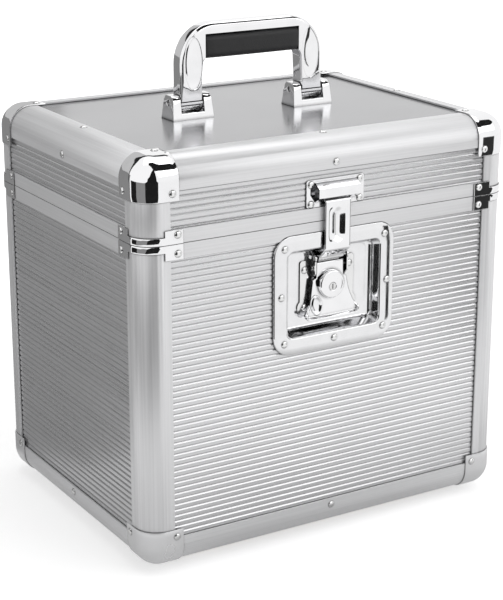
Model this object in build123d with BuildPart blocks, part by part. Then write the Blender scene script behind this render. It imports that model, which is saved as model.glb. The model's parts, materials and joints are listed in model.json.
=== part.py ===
"""Record carrying case: aluminium-edged box with a hinged lid, a folding handle and a recessed key latch.

Frame: X to the right, Y to the back, Z up; the latch is on the front (-Y).  The origin lies on the
floor under the middle of the case.  Millimetres.
"""

import os
from math import sqrt

from build123d import *

os.makedirs("parts", exist_ok=True)

# ---------------------------------------------------------------- driving dimensions
case_width = 356.0          # over the edge extrusions, for 315 mm record sleeves
case_depth = 275.0
body_height = 273.5         # underside of the case to the lid split
lid_height = 68.0           # lid split to the top of the lid
foot_height = 6.0
seam_gap = 0.4              # between the closed rims

# edge extrusion (posts, bottom edges, top edges)
edge_leg = 26.0
edge_radius = 19.0
lip_wall = 1.9              # outer wall of every extrusion
inner_wall = 1.3
slot_start = 14.0           # bottom of the panel slot, from the outer corner
web_wall = 1.4
slot_fit = 0.1              # clearance on each face of a panel in its slot
end_fit = 0.2               # clearance at the ends of panels and extrusions

# panels: plywood board with a ribbed aluminium skin
board_thickness = 4.0
skin_thickness = 1.2
rib_pitch = 4.86
rib_groove_width = 2.2
rib_groove_depth = 0.7
rib_border = 3.0            # plain edge of the skin inside the slots
lining_thickness = 2.0
lining_fit = 0.1
lining_drop = 0.5           # the linings stop short of the rims

# rims at the split
body_rim_height = 12.2
lid_rim_height = 11.2
rim_deck = 2.0
tongue_height = 2.5
tongue_thickness = 1.4
tongue_depth = 4.2          # outer face of the case to the tongue
groove_fit = 0.5
groove_cover = 1.6          # extra metal over the groove

# pressed corners
cap_leg = 33.5
cap_wall = 1.0
cap_fit = 0.1
cap_rivet_inset = 6.1
bracket_leg = 36.6          # corner brackets at the split
bracket_wall = 1.0
bracket_band = 6.0          # narrow part that goes round the corner
bracket_step = 20.3
bracket_rivet_inset = 5.0
bracket_rivet_height = 7.4

rivet_radius = 3.05
rivet_crown_radius = 1.7
rivet_height = 1.4
edge_rivet_drop = 20.3      # mid rivets of the extrusions, from the outer corner

# feet
foot_radius = 11.0
foot_inset = 46.0
foot_chamfer = 1.2

# latch dish
dish_width = 117.5
dish_height = 101.2
dish_radius = 16.3
dish_drop = 59.2            # lid split to the dish's centre
dish_flange = 2.5
dish_proud = 0.6            # flange face in front of the extrusions
dish_edge_bevel = 0.7
dish_opening_width = 89.5
dish_opening_height = 72.7
dish_opening_radius = 5.0
dish_depth = 12.7           # dish floor behind the face of the extrusions
dish_wall = 1.4
dish_taper = 16.0           # degrees
dish_fit = 0.4
dish_rivet_side = 51.9      # X of the side rivets
dish_rivet_corner = 48.8    # X of the corner rivets
dish_rivet_rise = 40.3      # Z of the corner rivets from the dish's centre
dish_rivet_low = 42.5       # Z of the lower middle rivet from the dish's centre

# latch base and its two pins; z values are below the lid split
base_thickness = 1.0
base_half_width = 26.3
base_corner = 2.5
base_top = -35.5
base_bottom = -80.0
base_boss_radius = 6.6      # lobes round the two lower rivets
base_rivet_x = 22.0
base_rivet_high = -43.3
base_rivet_low = -75.3
base_notch_half = 14.0
base_notch_bottom = -46.0
cheek_inner = 15.0
cheek_thickness = 1.3
cheek_rise_high = 8.2       # height of the cheeks above the dish floor beside the pins
cheek_rise_low = 3.6        # and under the wide part of the lever
cheek_shoulder = -50.6
cheek_bottom = -70.0
pin_ear_radius = 3.2
lever_pin_u = -9.0          # u is the distance in front of the extrusions' face
lever_pin_z = -41.5
hasp_pin_u = -7.0
hasp_pin_z = -33.0
latch_pin_radius = 1.2
latch_pin_fit = 0.08
latch_pin_head = 0.9
latch_pin_head_radius = 2.0

# lever
lever_face_u = -6.8
lever_thickness = 1.6
lever_neck_half = 13.2
lever_top = -37.6
lever_neck_bottom = -50.4
lever_shoulder_half = 16.8
lever_shoulder_z = -52.0
lever_waist_half = 20.4
lever_waist_z = -67.0
lever_bell_half = 28.5
lever_bell_z = -80.5
lever_bottom = -86.0
lever_toe_radius = 3.0      # rounding of the two lower corners
lever_toe_side = 0.6
lever_toe_rise = 2.2
lever_bow = 0.4             # the lower edge bows down by this
lever_ear_thickness = 1.3
lever_ear_top_u = -10.0
lever_ear_u = -11.2
lever_ear_high_z = -39.9
lever_ear_low_z = -43.9
lever_ear_bottom = -47.0
lever_lip_u = 0.4
lever_lip_thickness = 1.6
lever_lip_start = -78.5
scoop_x = -12.5
scoop_z = -77.0
scoop_half_width = 4.6
scoop_half_height = 8.6
scoop_depth = 0.9
scoop_lean = 102.0
scoop_draft = 40.0

# lock
lock_z = -56.2
lock_head_radius = 12.0
lock_head_u = -2.0
lock_head_bevel = 0.9
lock_body_radius = 7.4
lock_body_u = -10.2
lock_plug_radius = 3.2
lock_plug_drop = 1.9        # keyway plug below the middle of the lock
lock_plug_fit = 0.08
lock_plug_sunk = 0.3
key_slot_width = 0.9
key_slot_height = 4.4
key_slot_depth = 4.0
cam_thickness = 0.8
cam_gap = 0.3
cam_width = 3.4
cam_reach = 7.5

# hasp
hasp_half_width = 12.3
hasp_thickness = 1.8
hasp_face_u = 4.4
hasp_top = 18.2
hasp_bevel = 0.9
hasp_bend_z = -25.4         # lower end of the outer face
hasp_inner_bend_z = -23.8
hasp_inner_root_z = -29.3
hasp_root = 1.4             # strap's faces beside the knuckle, from the pin
hasp_root_inner = 0.4
hasp_root_back = 1.0
hasp_lip_u = -1.4
hasp_lip_thickness = 1.9
hasp_knuckle_radius = 2.4
hasp_tail_half_width = 10.0
hasp_tail_u = -8.8
hasp_tail_thickness = 1.3
hasp_tail_bottom = -38.4
hasp_tail_top = -32.0
hasp_panel_half_width = 8.0
hasp_panel_top = 12.2
hasp_panel_bottom = -18.3
hasp_panel_depth = 0.8
hasp_panel_corner = 1.6
hasp_panel_draft = 35.0

# catch on the lid
catch_half_width = 27.7
catch_bridge_half = 19.8
catch_sheet = 1.3
catch_corner = 2.0
catch_foot_wall = 1.6       # the bridge's wall where it leaves the panel, along Z
catch_bend_wall = 0.4       # and at its outer bends
catch_bottom = 11.9
catch_top = 34.6
catch_bridge_bottom = 16.0
catch_bridge_top = 32.4
catch_slope = 4.3           # run of each bevel along Z
catch_face_u = 6.0
catch_slot_half = 13.0
catch_slot_bottom = 15.8
catch_slot_top = 19.4
catch_rivet_x = 23.6
catch_rivet_z = (14.8, 31.0)

# hinges
hinge_width = 62.0
hinge_corner_gap = 15.4     # corner bracket to hinge leaf
hinge_axis_out = 3.3        # hinge axis behind the back of the extrusions
hinge_knuckle_radius = 2.7
hinge_pin_radius = 1.4
hinge_pin_fit = 0.08
hinge_pin_head = 1.0
hinge_pin_head_radius = 2.3
hinge_leaf = 1.2
hinge_knuckles = 5
hinge_knuckle_gap = 0.4
hinge_body_drop = 32.0
hinge_lid_rise = 31.0
hinge_relief = 3.4          # leaf cut back beside the other leaf's knuckles
hinge_joggle_gap = 0.3      # rim's edge to the bend of the leaf
hinge_joggle_half = 0.2
hinge_web_overlap = 0.4     # webs of the knuckles run into the leaf by this
hinge_web_back = 0.2        # and keep this far off the rims
hinge_web_inner = 1.0
hinge_web_outer = 1.4
hinge_rivet_x = 20.0
hinge_rivet_low = 24.0
hinge_rivet_high = 23.0

# handle
handle_span = 120.0         # between the two brackets' centres
handle_pivot_rise = 14.2    # above the top panel
handle_top_rise = 80.0
handle_arm_width = 20.8
handle_thickness = 15.6
handle_corner_radius = 34.0
handle_band = 10.2          # metal band over the grip
handle_edge_bevel = 2.6
handle_grip_height = 20.4
handle_grip_length = 91.5
handle_grip_thickness = 17.0
handle_grip_radius = 5.0
handle_pin_radius = 2.5
handle_pin_fit = 0.1
bracket_length = 39.5       # handle bracket, along X
bracket_width = 21.6
bracket_height = 20.6
bracket_gap = 22.2          # between the two ears
bracket_sill = 5.6
bracket_floor = 2.4
bracket_corner = 3.0
bracket_ear_half = 8.0
bracket_ear_bevel = 3.0
bracket_ear_root = 1.0      # ears start this far above the panel
bracket_ear_inset = 1.2     # foot of the bracket beyond the ears, along X
bracket_sill_wall = 3.0
bracket_rivet_x = 7.0       # from the bracket's middle
handle_pin_sunk = 1.0

# ---------------------------------------------------------------- places worked out from the sizes
half_width = case_width / 2
half_depth = case_depth / 2
hinge_x = half_width - bracket_leg - hinge_corner_gap - hinge_width / 2
case_bottom = foot_height
split_z = case_bottom + body_height
lid_bottom = split_z + seam_gap
case_top = split_z + lid_height
skin_face = lip_wall + slot_fit                        # outer face of the case to the rib crests
board_face = skin_face + skin_thickness
board_back = board_face + board_thickness
slot_inner = board_back + slot_fit                     # outer face of the inner wall
edge_depth = slot_inner + inner_wall
lining_face = edge_depth + lining_fit
bay_face = lining_face + lining_thickness
panel_start = slot_start + end_fit
run_end = edge_leg + end_fit                           # where extrusions stop, from the outer planes
body_slot_top = split_z - rim_deck * 2
lid_slot_bottom = lid_bottom + rim_deck * 2 + groove_cover
top_face = case_top - skin_face                        # upper face of the top panel
dish_z = split_z - dish_drop
dish_back = dish_depth + dish_wall


def face_plane(side, z=0.0, out=0.0):
    """Plane on one side of the case: x along the side, y up, z outwards."""
    origins = {
        "front": ((0, -half_depth - out, z), (1, 0, 0), (0, -1, 0)),
        "back": ((0, half_depth + out, z), (-1, 0, 0), (0, 1, 0)),
        "left": ((-half_width - out, 0, z), (0, -1, 0), (-1, 0, 0)),
        "right": ((half_width + out, 0, z), (0, 1, 0), (1, 0, 0)),
    }
    origin, along, outward = origins[side]
    return Plane(origin=origin, x_dir=along, z_dir=outward)


def run_plane(side, z=0.0):
    """Plane across a side's horizontal extrusions: x outwards, y up."""
    face = face_plane(side, z)
    return Plane(origin=face.origin, x_dir=face.z_dir, z_dir=-face.x_dir)


def cross_plane(x, y, z):
    """Plane across the case's width: x to the back, y up."""
    return Plane(origin=(x, y, z), x_dir=(0, 1, 0), z_dir=(1, 0, 0))


def half_side(side):
    """Half the length of a side of the case."""
    return half_width if side in ("front", "back") else half_depth


def edge_section(plane, sx, sy):
    """Edge extrusion: rounded double angle with a panel slot in each leg and a hollow corner."""

    def at(x, y):
        return (sx * x, sy * y)

    bulge = edge_radius - edge_radius * sqrt(0.5)
    hollow_radius = edge_radius - lip_wall
    hollow_bulge = edge_radius - hollow_radius * sqrt(0.5)
    hollow_end = slot_start - web_wall
    hollow_edge = edge_radius - sqrt(hollow_radius**2 - (edge_radius - hollow_end) ** 2)
    with BuildSketch(plane) as section:
        with BuildLine():
            Polyline(
                at(edge_radius, 0),
                at(edge_leg, 0),
                at(edge_leg, lip_wall),
                at(slot_start, lip_wall),
                at(slot_start, slot_inner),
                at(edge_leg, slot_inner),
                at(edge_leg, edge_depth),
                at(edge_depth, edge_depth),
                at(edge_depth, edge_leg),
                at(slot_inner, edge_leg),
                at(slot_inner, slot_start),
                at(lip_wall, slot_start),
                at(lip_wall, edge_leg),
                at(0, edge_leg),
                at(0, edge_radius),
            )
            ThreePointArc(at(0, edge_radius), at(bulge, bulge), at(edge_radius, 0))
        make_face()
        with BuildLine():
            Polyline(
                at(hollow_end, hollow_edge),
                at(hollow_end, slot_inner),
                at(slot_inner, slot_inner),
                at(slot_inner, hollow_end),
                at(hollow_edge, hollow_end),
            )
            ThreePointArc(
                at(hollow_edge, hollow_end), at(hollow_bulge, hollow_bulge), at(hollow_end, hollow_edge)
            )
        make_face(mode=Mode.SUBTRACT)
    return section.sketch


def edge_bar(side, z, upward):
    """Horizontal edge extrusion along one side; upward is 1 at the bottom and -1 at the top."""
    half_length = half_side(side) - run_end
    with BuildPart() as bar:
        extrude(edge_section(run_plane(side, z).offset(-half_length), -1, upward), amount=2 * half_length)
    return bar.part


def corner_post(sx, sy, z0, z1):
    """Vertical edge extrusion at the corner (sx, sy)."""
    with BuildPart() as post:
        extrude(edge_section(Plane(origin=(sx * half_width, sy * half_depth, z0)), -sx, -sy), amount=z1 - z0)
    return post.part


def body_rim(side):
    """Lower rim: panel slot below, tongue above."""
    with BuildPart() as rim:
        with BuildSketch(run_plane(side, split_z)):
            with BuildLine():
                Polyline(
                    (0, 0),
                    (0, -body_rim_height),
                    (-lip_wall, -body_rim_height),
                    (-lip_wall, body_slot_top - split_z),
                    (-slot_inner, body_slot_top - split_z),
                    (-slot_inner, -body_rim_height),
                    (-edge_depth, -body_rim_height),
                    (-edge_depth, 0),
                    (-tongue_depth - tongue_thickness, 0),
                    (-tongue_depth - tongue_thickness, tongue_height),
                    (-tongue_depth, tongue_height),
                    (-tongue_depth, 0),
                    close=True,
                )
            make_face()
        extrude(amount=half_side(side) - run_end, both=True)
        if side == "front":
            with BuildSketch(face_plane(side, dish_z)):
                RectangleRounded(dish_width + dish_fit, dish_height + dish_fit, dish_radius)
            extrude(amount=-skin_face, mode=Mode.SUBTRACT)
    return rim.part


def lid_rim(side):
    """Upper rim: groove for the tongue below, panel slot above."""
    groove_out = tongue_depth - groove_fit
    groove_in = tongue_depth + tongue_thickness + groove_fit
    groove_top = tongue_height + groove_fit
    slot_low = lid_slot_bottom - lid_bottom
    with BuildPart() as rim:
        with BuildSketch(run_plane(side, lid_bottom)):
            with BuildLine():
                Polyline(
                    (0, 0),
                    (0, lid_rim_height),
                    (-lip_wall, lid_rim_height),
                    (-lip_wall, slot_low),
                    (-slot_inner, slot_low),
                    (-slot_inner, lid_rim_height),
                    (-edge_depth, lid_rim_height),
                    (-edge_depth, 0),
                    (-groove_in, 0),
                    (-groove_in, groove_top),
                    (-groove_out, groove_top),
                    (-groove_out, 0),
                    close=True,
                )
            make_face()
        extrude(amount=half_side(side) - run_end, both=True)
    return rim.part


def side_board(side, z0, z1):
    """Plywood board of one side, let into the extrusions all round."""
    with BuildPart() as board:
        with BuildSketch(face_plane(side, (z0 + z1) / 2, -board_face)):
            Rectangle(2 * (half_side(side) - panel_start), z1 - z0)
        extrude(amount=-board_thickness)
        if side == "front" and z0 < dish_z < z1:
            add(dish_clearance(), mode=Mode.SUBTRACT)
    return board.part


def side_skin(side, z0, z1):
    """Ribbed aluminium skin over one board: V grooves run level at the rib pitch."""
    grooves = int((z1 - z0 - 2 * rib_border) // rib_pitch)
    start = z0 + (z1 - z0 - grooves * rib_pitch) / 2
    outline = [(-board_face, z0), (-board_face, z1), (-skin_face, z1)]
    for index in range(grooves, 0, -1):
        middle = start + (index - 0.5) * rib_pitch
        outline.append((-skin_face, middle + rib_groove_width / 2))
        outline.append((-skin_face - rib_groove_depth, middle))
        outline.append((-skin_face, middle - rib_groove_width / 2))
    outline.append((-skin_face, z0))
    with BuildPart() as skin:
        with BuildSketch(run_plane(side)):
            with BuildLine():
                Polyline(*outline, close=True)
            make_face()
        extrude(amount=half_side(side) - panel_start, both=True)
        if side == "front" and z0 < dish_z < z1:
            add(dish_clearance(), mode=Mode.SUBTRACT)
    return skin.part


def dish_clearance():
    """Block that clears the dish's well through the front panel and the lining."""
    with BuildPart() as block:
        with BuildSketch(face_plane("front", dish_z)):
            RectangleRounded(
                dish_opening_width + 2 * (dish_wall + dish_fit),
                dish_opening_height + 2 * (dish_wall + dish_fit),
                dish_opening_radius + dish_wall,
            )
        extrude(amount=-dish_back - dish_fit)
    return block.part


def level_panel(z0, z1):
    """Top or bottom panel, let into the edge extrusions."""
    with BuildPart() as panel:
        with BuildSketch(Plane.XY.offset(z0)):
            Rectangle(2 * (half_width - panel_start), 2 * (half_depth - panel_start))
        extrude(amount=z1 - z0)
    return panel.part


def lining(z0, z1, floor_low):
    """Fabric-faced lining: an open tray that stands inside the extrusions."""
    with BuildPart() as tray:
        with BuildSketch(Plane.XY.offset(z0)):
            Rectangle(2 * (half_width - lining_face), 2 * (half_depth - lining_face))
        extrude(amount=z1 - z0)
        hollow_low = z0 + lining_thickness if floor_low else z0
        hollow_high = z1 if floor_low else z1 - lining_thickness
        with BuildSketch(Plane.XY.offset(hollow_low)):
            Rectangle(2 * (half_width - bay_face), 2 * (half_depth - bay_face))
        extrude(amount=hollow_high - hollow_low, mode=Mode.SUBTRACT)
        if z0 < dish_z < z1:
            add(dish_clearance(), mode=Mode.SUBTRACT)
    return tray.part


def rounded_block(grow, z0, z1):
    """Outer form of the closed case with every edge rounded, grown outwards by grow."""
    with BuildPart() as block:
        with Locations((0, 0, (z0 + z1) / 2)):
            Box(case_width + 2 * grow, case_depth + 2 * grow, z1 - z0 + 2 * grow)
        fillet(block.edges(), edge_radius + grow)
    return block.part


def corner_caps(low):
    """The four pressed ball corners at the bottom (low) or at the top."""
    z0 = case_bottom if low else case_top - cap_leg
    z1 = case_bottom + cap_leg if low else case_top
    reach = cap_wall + cap_fit
    with BuildPart() as caps:
        add(rounded_block(reach, case_bottom, case_top))
        add(rounded_block(cap_fit, case_bottom, case_top), mode=Mode.SUBTRACT)
        keep = corner_blocks(z0 - (reach if low else 0), z1 + (0 if low else reach), cap_leg)
        add(keep, mode=Mode.INTERSECT)
    return caps.part


def corner_blocks(z0, z1, leg):
    """Four square blocks round the case's corners, for cutting corner pieces out of a shell."""
    room = 2 * cap_wall
    with BuildPart() as blocks:
        with BuildSketch(Plane.XY.offset(z0)):
            with GridLocations(case_width - leg + room, case_depth - leg + room, 2, 2):
                Rectangle(leg + room, leg + room)
        extrude(amount=z1 - z0)
    return blocks.part


def wall_shell(z0, z1, inner, outer):
    """Upright shell round the case between two offsets from the extrusions' faces."""
    with BuildPart() as shell:
        with BuildSketch(Plane.XY.offset(z0)):
            RectangleRounded(case_width + 2 * outer, case_depth + 2 * outer, edge_radius + outer)
            RectangleRounded(
                case_width + 2 * inner, case_depth + 2 * inner, edge_radius + inner, mode=Mode.SUBTRACT
            )
        extrude(amount=z1 - z0)
    return shell.part


def split_brackets(body_side):
    """Corner brackets beside the lid split: ears on the rims and a narrow band round the corner."""
    low = split_z - body_rim_height if body_side else lid_bottom
    high = split_z if body_side else lid_bottom + lid_rim_height
    band_low = high - bracket_band if body_side else low
    band_high = high if body_side else low + bracket_band
    with BuildPart() as brackets:
        add(wall_shell(low, high, cap_fit, cap_fit + bracket_wall))
        add(corner_blocks(low, high, bracket_leg), mode=Mode.INTERSECT)
        waste_low = low if body_side else band_high
        waste_high = band_low if body_side else high
        add(corner_blocks(waste_low, waste_high, bracket_step), mode=Mode.SUBTRACT)
    return brackets.part


def feet():
    """Four rubber feet under the bottom panel."""
    rise = case_bottom + skin_face
    with BuildPart() as pads:
        with BuildSketch():
            with GridLocations(2 * (half_width - foot_inset), 2 * (half_depth - foot_inset), 2, 2):
                Circle(foot_radius)
        extrude(amount=rise)
        chamfer(pads.edges().group_by(Axis.Z)[0], foot_chamfer)
    return pads.part


def latch_dish():
    """Recessed tray of the latch: a raised flange round a tapered well."""
    flange_back = dish_proud - dish_flange
    with BuildPart() as dish:
        with BuildSketch(face_plane("front", dish_z, flange_back)):
            RectangleRounded(dish_width, dish_height, dish_radius)
        extrude(amount=dish_flange)
        chamfer(dish.faces().sort_by(Axis.Y)[0].edges(), dish_edge_bevel)
        with BuildSketch(face_plane("front", dish_z, flange_back)):
            RectangleRounded(
                dish_opening_width + 2 * dish_wall,
                dish_opening_height + 2 * dish_wall,
                dish_opening_radius + dish_wall,
            )
        extrude(amount=-dish_back - flange_back, taper=dish_taper)
        with BuildSketch(face_plane("front", dish_z, dish_proud)):
            RectangleRounded(dish_opening_width, dish_opening_height, dish_opening_radius)
        extrude(amount=-dish_depth - dish_proud, taper=dish_taper, mode=Mode.SUBTRACT)
    return dish.part


def latch_base():
    """Base plate on the dish floor with two upright cheeks that hold the latch's pins."""
    floor = -dish_depth
    with BuildPart() as base:
        with BuildSketch(face_plane("front", split_z, floor)):
            with Locations((0, (base_top + base_bottom) / 2)):
                RectangleRounded(2 * base_half_width, base_top - base_bottom, base_corner)
            with Locations((-base_rivet_x, base_rivet_low), (base_rivet_x, base_rivet_low)):
                Circle(base_boss_radius)
            with Locations((0, (base_top + base_notch_bottom) / 2)):
                Rectangle(2 * base_notch_half, base_top - base_notch_bottom, mode=Mode.SUBTRACT)
        extrude(amount=base_thickness)
        for x in (-cheek_inner - cheek_thickness, cheek_inner):
            with BuildSketch(run_plane("front", split_z).offset(-x - cheek_thickness)):
                with BuildLine():
                    Polyline(
                        (floor, base_top),
                        (floor, cheek_bottom),
                        (floor + cheek_rise_low, cheek_bottom),
                        (floor + cheek_rise_low, cheek_shoulder),
                        (floor + cheek_rise_high, cheek_shoulder + cheek_rise_high - cheek_rise_low),
                        (floor + cheek_rise_high, base_top),
                        close=True,
                    )
                make_face()
                with Locations((hasp_pin_u, hasp_pin_z)):
                    Circle(pin_ear_radius)
            extrude(amount=cheek_thickness)
        for u, z in ((lever_pin_u, lever_pin_z), (hasp_pin_u, hasp_pin_z)):
            with BuildSketch(run_plane("front", split_z)):
                with Locations((u, z)):
                    Circle(latch_pin_radius + latch_pin_fit)
            extrude(amount=2 * base_rivet_x, both=True, mode=Mode.SUBTRACT)
    return base.part


def latch_pins():
    """The lever's pin and the hasp's pin, headed at both ends outside the cheeks."""
    half = cheek_inner + cheek_thickness + latch_pin_fit
    with BuildPart() as pins:
        with BuildSketch(run_plane("front", split_z)):
            with Locations((lever_pin_u, lever_pin_z), (hasp_pin_u, hasp_pin_z)):
                Circle(latch_pin_radius)
        extrude(amount=half, both=True)
        for end in (-half - latch_pin_head, half):
            with BuildSketch(run_plane("front", split_z).offset(end)):
                with Locations((lever_pin_u, lever_pin_z), (hasp_pin_u, hasp_pin_z)):
                    Circle(latch_pin_head_radius)
            extrude(amount=latch_pin_head)
    return pins.part


def lever_outline(inset):
    """Outline of the lever's plate in the front plane, bell-shaped below a narrow neck."""
    neck = lever_neck_half
    bell = lever_bell_half - inset
    waist = lever_waist_half - inset
    shoulder = lever_shoulder_half - inset
    foot = lever_bottom + inset
    toe = bell - lever_toe_radius
    toe_z = foot + lever_bow
    with BuildLine() as outline:
        Polyline((-neck, lever_neck_bottom), (-neck, lever_top), (neck, lever_top), (neck, lever_neck_bottom))
        Line((neck, lever_neck_bottom), (shoulder, lever_shoulder_z))
        ThreePointArc((shoulder, lever_shoulder_z), (waist, lever_waist_z), (bell, lever_bell_z))
        ThreePointArc((bell, lever_bell_z), (bell - lever_toe_side, foot + lever_toe_rise), (toe, toe_z))
        ThreePointArc((toe, toe_z), (0, foot), (-toe, toe_z))
        ThreePointArc((-toe, toe_z), (-bell + lever_toe_side, foot + lever_toe_rise), (-bell, lever_bell_z))
        ThreePointArc((-bell, lever_bell_z), (-waist, lever_waist_z), (-shoulder, lever_shoulder_z))
        Line((-shoulder, lever_shoulder_z), (-neck, lever_neck_bottom))
    return outline.wires()[0]


def latch_lever():
    """Lever: pressed plate with a turned-out finger lip, two ears for its pin and the lock's hole."""
    back_u = lever_face_u - lever_thickness
    with BuildPart() as lever:
        with BuildSketch(face_plane("front", split_z, back_u)):
            add(lever_outline(0))
            make_face()
            with Locations((0, lock_z)):
                Circle(lock_body_radius + lock_plug_fit, mode=Mode.SUBTRACT)
        extrude(amount=lever_thickness)
        with BuildSketch(face_plane("front", split_z, back_u)):
            add(lever_outline(0))
            make_face()
            add(lever_outline(lever_lip_thickness))
            make_face(mode=Mode.SUBTRACT)
            with Locations((0, lever_lip_start)):
                Rectangle(case_width, lid_height, align=(Align.CENTER, Align.MIN), mode=Mode.SUBTRACT)
        extrude(amount=lever_lip_u - back_u)
        for x in (-lever_neck_half, lever_neck_half - lever_ear_thickness):
            with BuildSketch(run_plane("front", split_z).offset(-x - lever_ear_thickness)):
                with BuildLine():
                    Polyline(
                        (lever_face_u, lever_top),
                        (lever_ear_top_u, lever_top),
                        (lever_ear_u, lever_ear_high_z),
                        (lever_ear_u, lever_ear_low_z),
                        (back_u, lever_ear_bottom),
                        (lever_face_u, lever_ear_bottom),
                        close=True,
                    )
                make_face()
            extrude(amount=lever_ear_thickness)
        with BuildSketch(run_plane("front", split_z)):
            with Locations((lever_pin_u, lever_pin_z)):
                Circle(latch_pin_radius + latch_pin_fit)
        extrude(amount=lever_shoulder_half, both=True, mode=Mode.SUBTRACT)
        with BuildSketch(face_plane("front", split_z, lever_face_u)):
            with Locations((scoop_x, scoop_z)):
                SlotOverall(2 * scoop_half_height, 2 * scoop_half_width, rotation=scoop_lean)
        extrude(amount=-scoop_depth, taper=scoop_draft, mode=Mode.SUBTRACT)
    return lever.part


def lock_barrel():
    """Key lock body: a wide round head on the lever and a narrower body behind it."""
    with BuildPart() as barrel:
        with BuildSketch(face_plane("front", split_z, lever_face_u)):
            with Locations((0, lock_z)):
                Circle(lock_head_radius)
        extrude(amount=lock_head_u - lever_face_u)
        chamfer(barrel.edges().sort_by(Axis.Y)[0], lock_head_bevel)
        with BuildSketch(face_plane("front", split_z, lever_face_u)):
            with Locations((0, lock_z)):
                Circle(lock_body_radius)
        extrude(amount=lock_body_u - lever_face_u)
        with BuildSketch(face_plane("front", split_z, lock_head_u)):
            with Locations((0, lock_z - lock_plug_drop)):
                Circle(lock_plug_radius + lock_plug_fit)
        extrude(amount=lock_body_u - lock_head_u, mode=Mode.SUBTRACT)
    return barrel.part


def lock_plug():
    """Keyway plug with the locking cam on its inner end."""
    plug_z = lock_z - lock_plug_drop
    front_u = lock_head_u - lock_plug_sunk
    back_u = lock_body_u - cam_gap
    with BuildPart() as plug:
        with BuildSketch(face_plane("front", split_z, front_u)):
            with Locations((0, plug_z)):
                Circle(lock_plug_radius)
        extrude(amount=back_u - cam_thickness - front_u)
        with BuildSketch(face_plane("front", split_z, back_u)):
            with Locations((0, plug_z)):
                Rectangle(cam_width, cam_reach, align=(Align.CENTER, Align.MAX))
                Circle(cam_width)
        extrude(amount=-cam_thickness)
        with BuildSketch(face_plane("front", split_z, front_u)):
            with Locations((0, plug_z)):
                Rectangle(key_slot_width, key_slot_height)
        extrude(amount=-key_slot_depth, mode=Mode.SUBTRACT)
    return plug.part


def hasp():
    """Hasp: a strap from its knuckle in the dish, out over the rims, to a lip in the catch."""
    inner_u = hasp_face_u - hasp_thickness
    with BuildPart() as strap:
        with BuildSketch(run_plane("front", split_z)):
            with BuildLine():
                Polyline(
                    (hasp_lip_u, hasp_top - hasp_lip_thickness),
                    (hasp_lip_u, hasp_top),
                    (hasp_face_u - hasp_bevel, hasp_top),
                    (hasp_face_u, hasp_top - hasp_bevel),
                    (hasp_face_u, hasp_bend_z),
                    (hasp_pin_u + hasp_root, hasp_pin_z),
                    (hasp_pin_u - hasp_root_back, hasp_pin_z + hasp_root),
                    (hasp_pin_u + hasp_root_inner, hasp_inner_root_z),
                    (inner_u, hasp_inner_bend_z),
                    (inner_u, hasp_top - hasp_lip_thickness),
                    close=True,
                )
            make_face()
            with Locations((hasp_pin_u, hasp_pin_z)):
                Circle(hasp_knuckle_radius)
        extrude(amount=hasp_half_width, both=True)
        with BuildSketch(run_plane("front", split_z)):
            with BuildLine():
                Polyline(
                    (hasp_tail_u, hasp_pin_z),
                    (hasp_tail_u, hasp_tail_bottom),
                    (hasp_tail_u - hasp_tail_thickness, hasp_tail_bottom),
                    (hasp_tail_u - hasp_tail_thickness, hasp_tail_top),
                    (hasp_pin_u - hasp_root_back, hasp_tail_top),
                    close=True,
                )
            make_face()
        extrude(amount=hasp_tail_half_width, both=True)
        with BuildSketch(run_plane("front", split_z)):
            with Locations((hasp_pin_u, hasp_pin_z)):
                Circle(latch_pin_radius + latch_pin_fit)
        extrude(amount=hasp_half_width, both=True, mode=Mode.SUBTRACT)
        with BuildSketch(face_plane("front", split_z, hasp_face_u)):
            with Locations((0, (hasp_panel_top + hasp_panel_bottom) / 2)):
                RectangleRounded(
                    2 * hasp_panel_half_width, hasp_panel_top - hasp_panel_bottom, hasp_panel_corner
                )
        extrude(amount=-hasp_panel_depth, taper=hasp_panel_draft, mode=Mode.SUBTRACT)
    return strap.part


def catch():
    """Catch on the lid: a bevelled bridge with open ends, slotted for the hasp's lip."""
    back_u = -skin_face
    with BuildPart() as plate:
        with BuildSketch(face_plane("front", split_z, back_u)):
            with Locations((0, (catch_bottom + catch_top) / 2)):
                RectangleRounded(2 * catch_half_width, catch_top - catch_bottom, catch_corner)
        extrude(amount=catch_sheet)
        with BuildSketch(run_plane("front", split_z)):
            with BuildLine():
                Polyline(
                    (back_u, catch_bridge_bottom),
                    (back_u + catch_sheet, catch_bridge_bottom),
                    (catch_face_u, catch_bridge_bottom + catch_slope),
                    (catch_face_u, catch_bridge_top - catch_slope),
                    (back_u + catch_sheet, catch_bridge_top),
                    (back_u, catch_bridge_top),
                    close=True,
                )
            make_face()
        extrude(amount=catch_bridge_half, both=True)
        with BuildSketch(run_plane("front", split_z)):
            with BuildLine():
                Polyline(
                    (back_u, catch_bridge_bottom + catch_foot_wall),
                    (back_u + catch_sheet, catch_bridge_bottom + catch_foot_wall),
                    (catch_face_u - catch_sheet, catch_bridge_bottom + catch_slope + catch_bend_wall),
                    (catch_face_u - catch_sheet, catch_bridge_top - catch_slope - catch_bend_wall),
                    (back_u + catch_sheet, catch_bridge_top - catch_foot_wall),
                    (back_u, catch_bridge_top - catch_foot_wall),
                    close=True,
                )
            make_face()
        extrude(amount=catch_bridge_half, both=True, mode=Mode.SUBTRACT)
        with BuildSketch(face_plane("front", split_z, back_u)):
            with Locations((0, (catch_slot_bottom + catch_slot_top) / 2)):
                Rectangle(2 * catch_slot_half, catch_slot_top - catch_slot_bottom)
        extrude(amount=catch_face_u - back_u, mode=Mode.SUBTRACT)
    return plate.part


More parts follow.
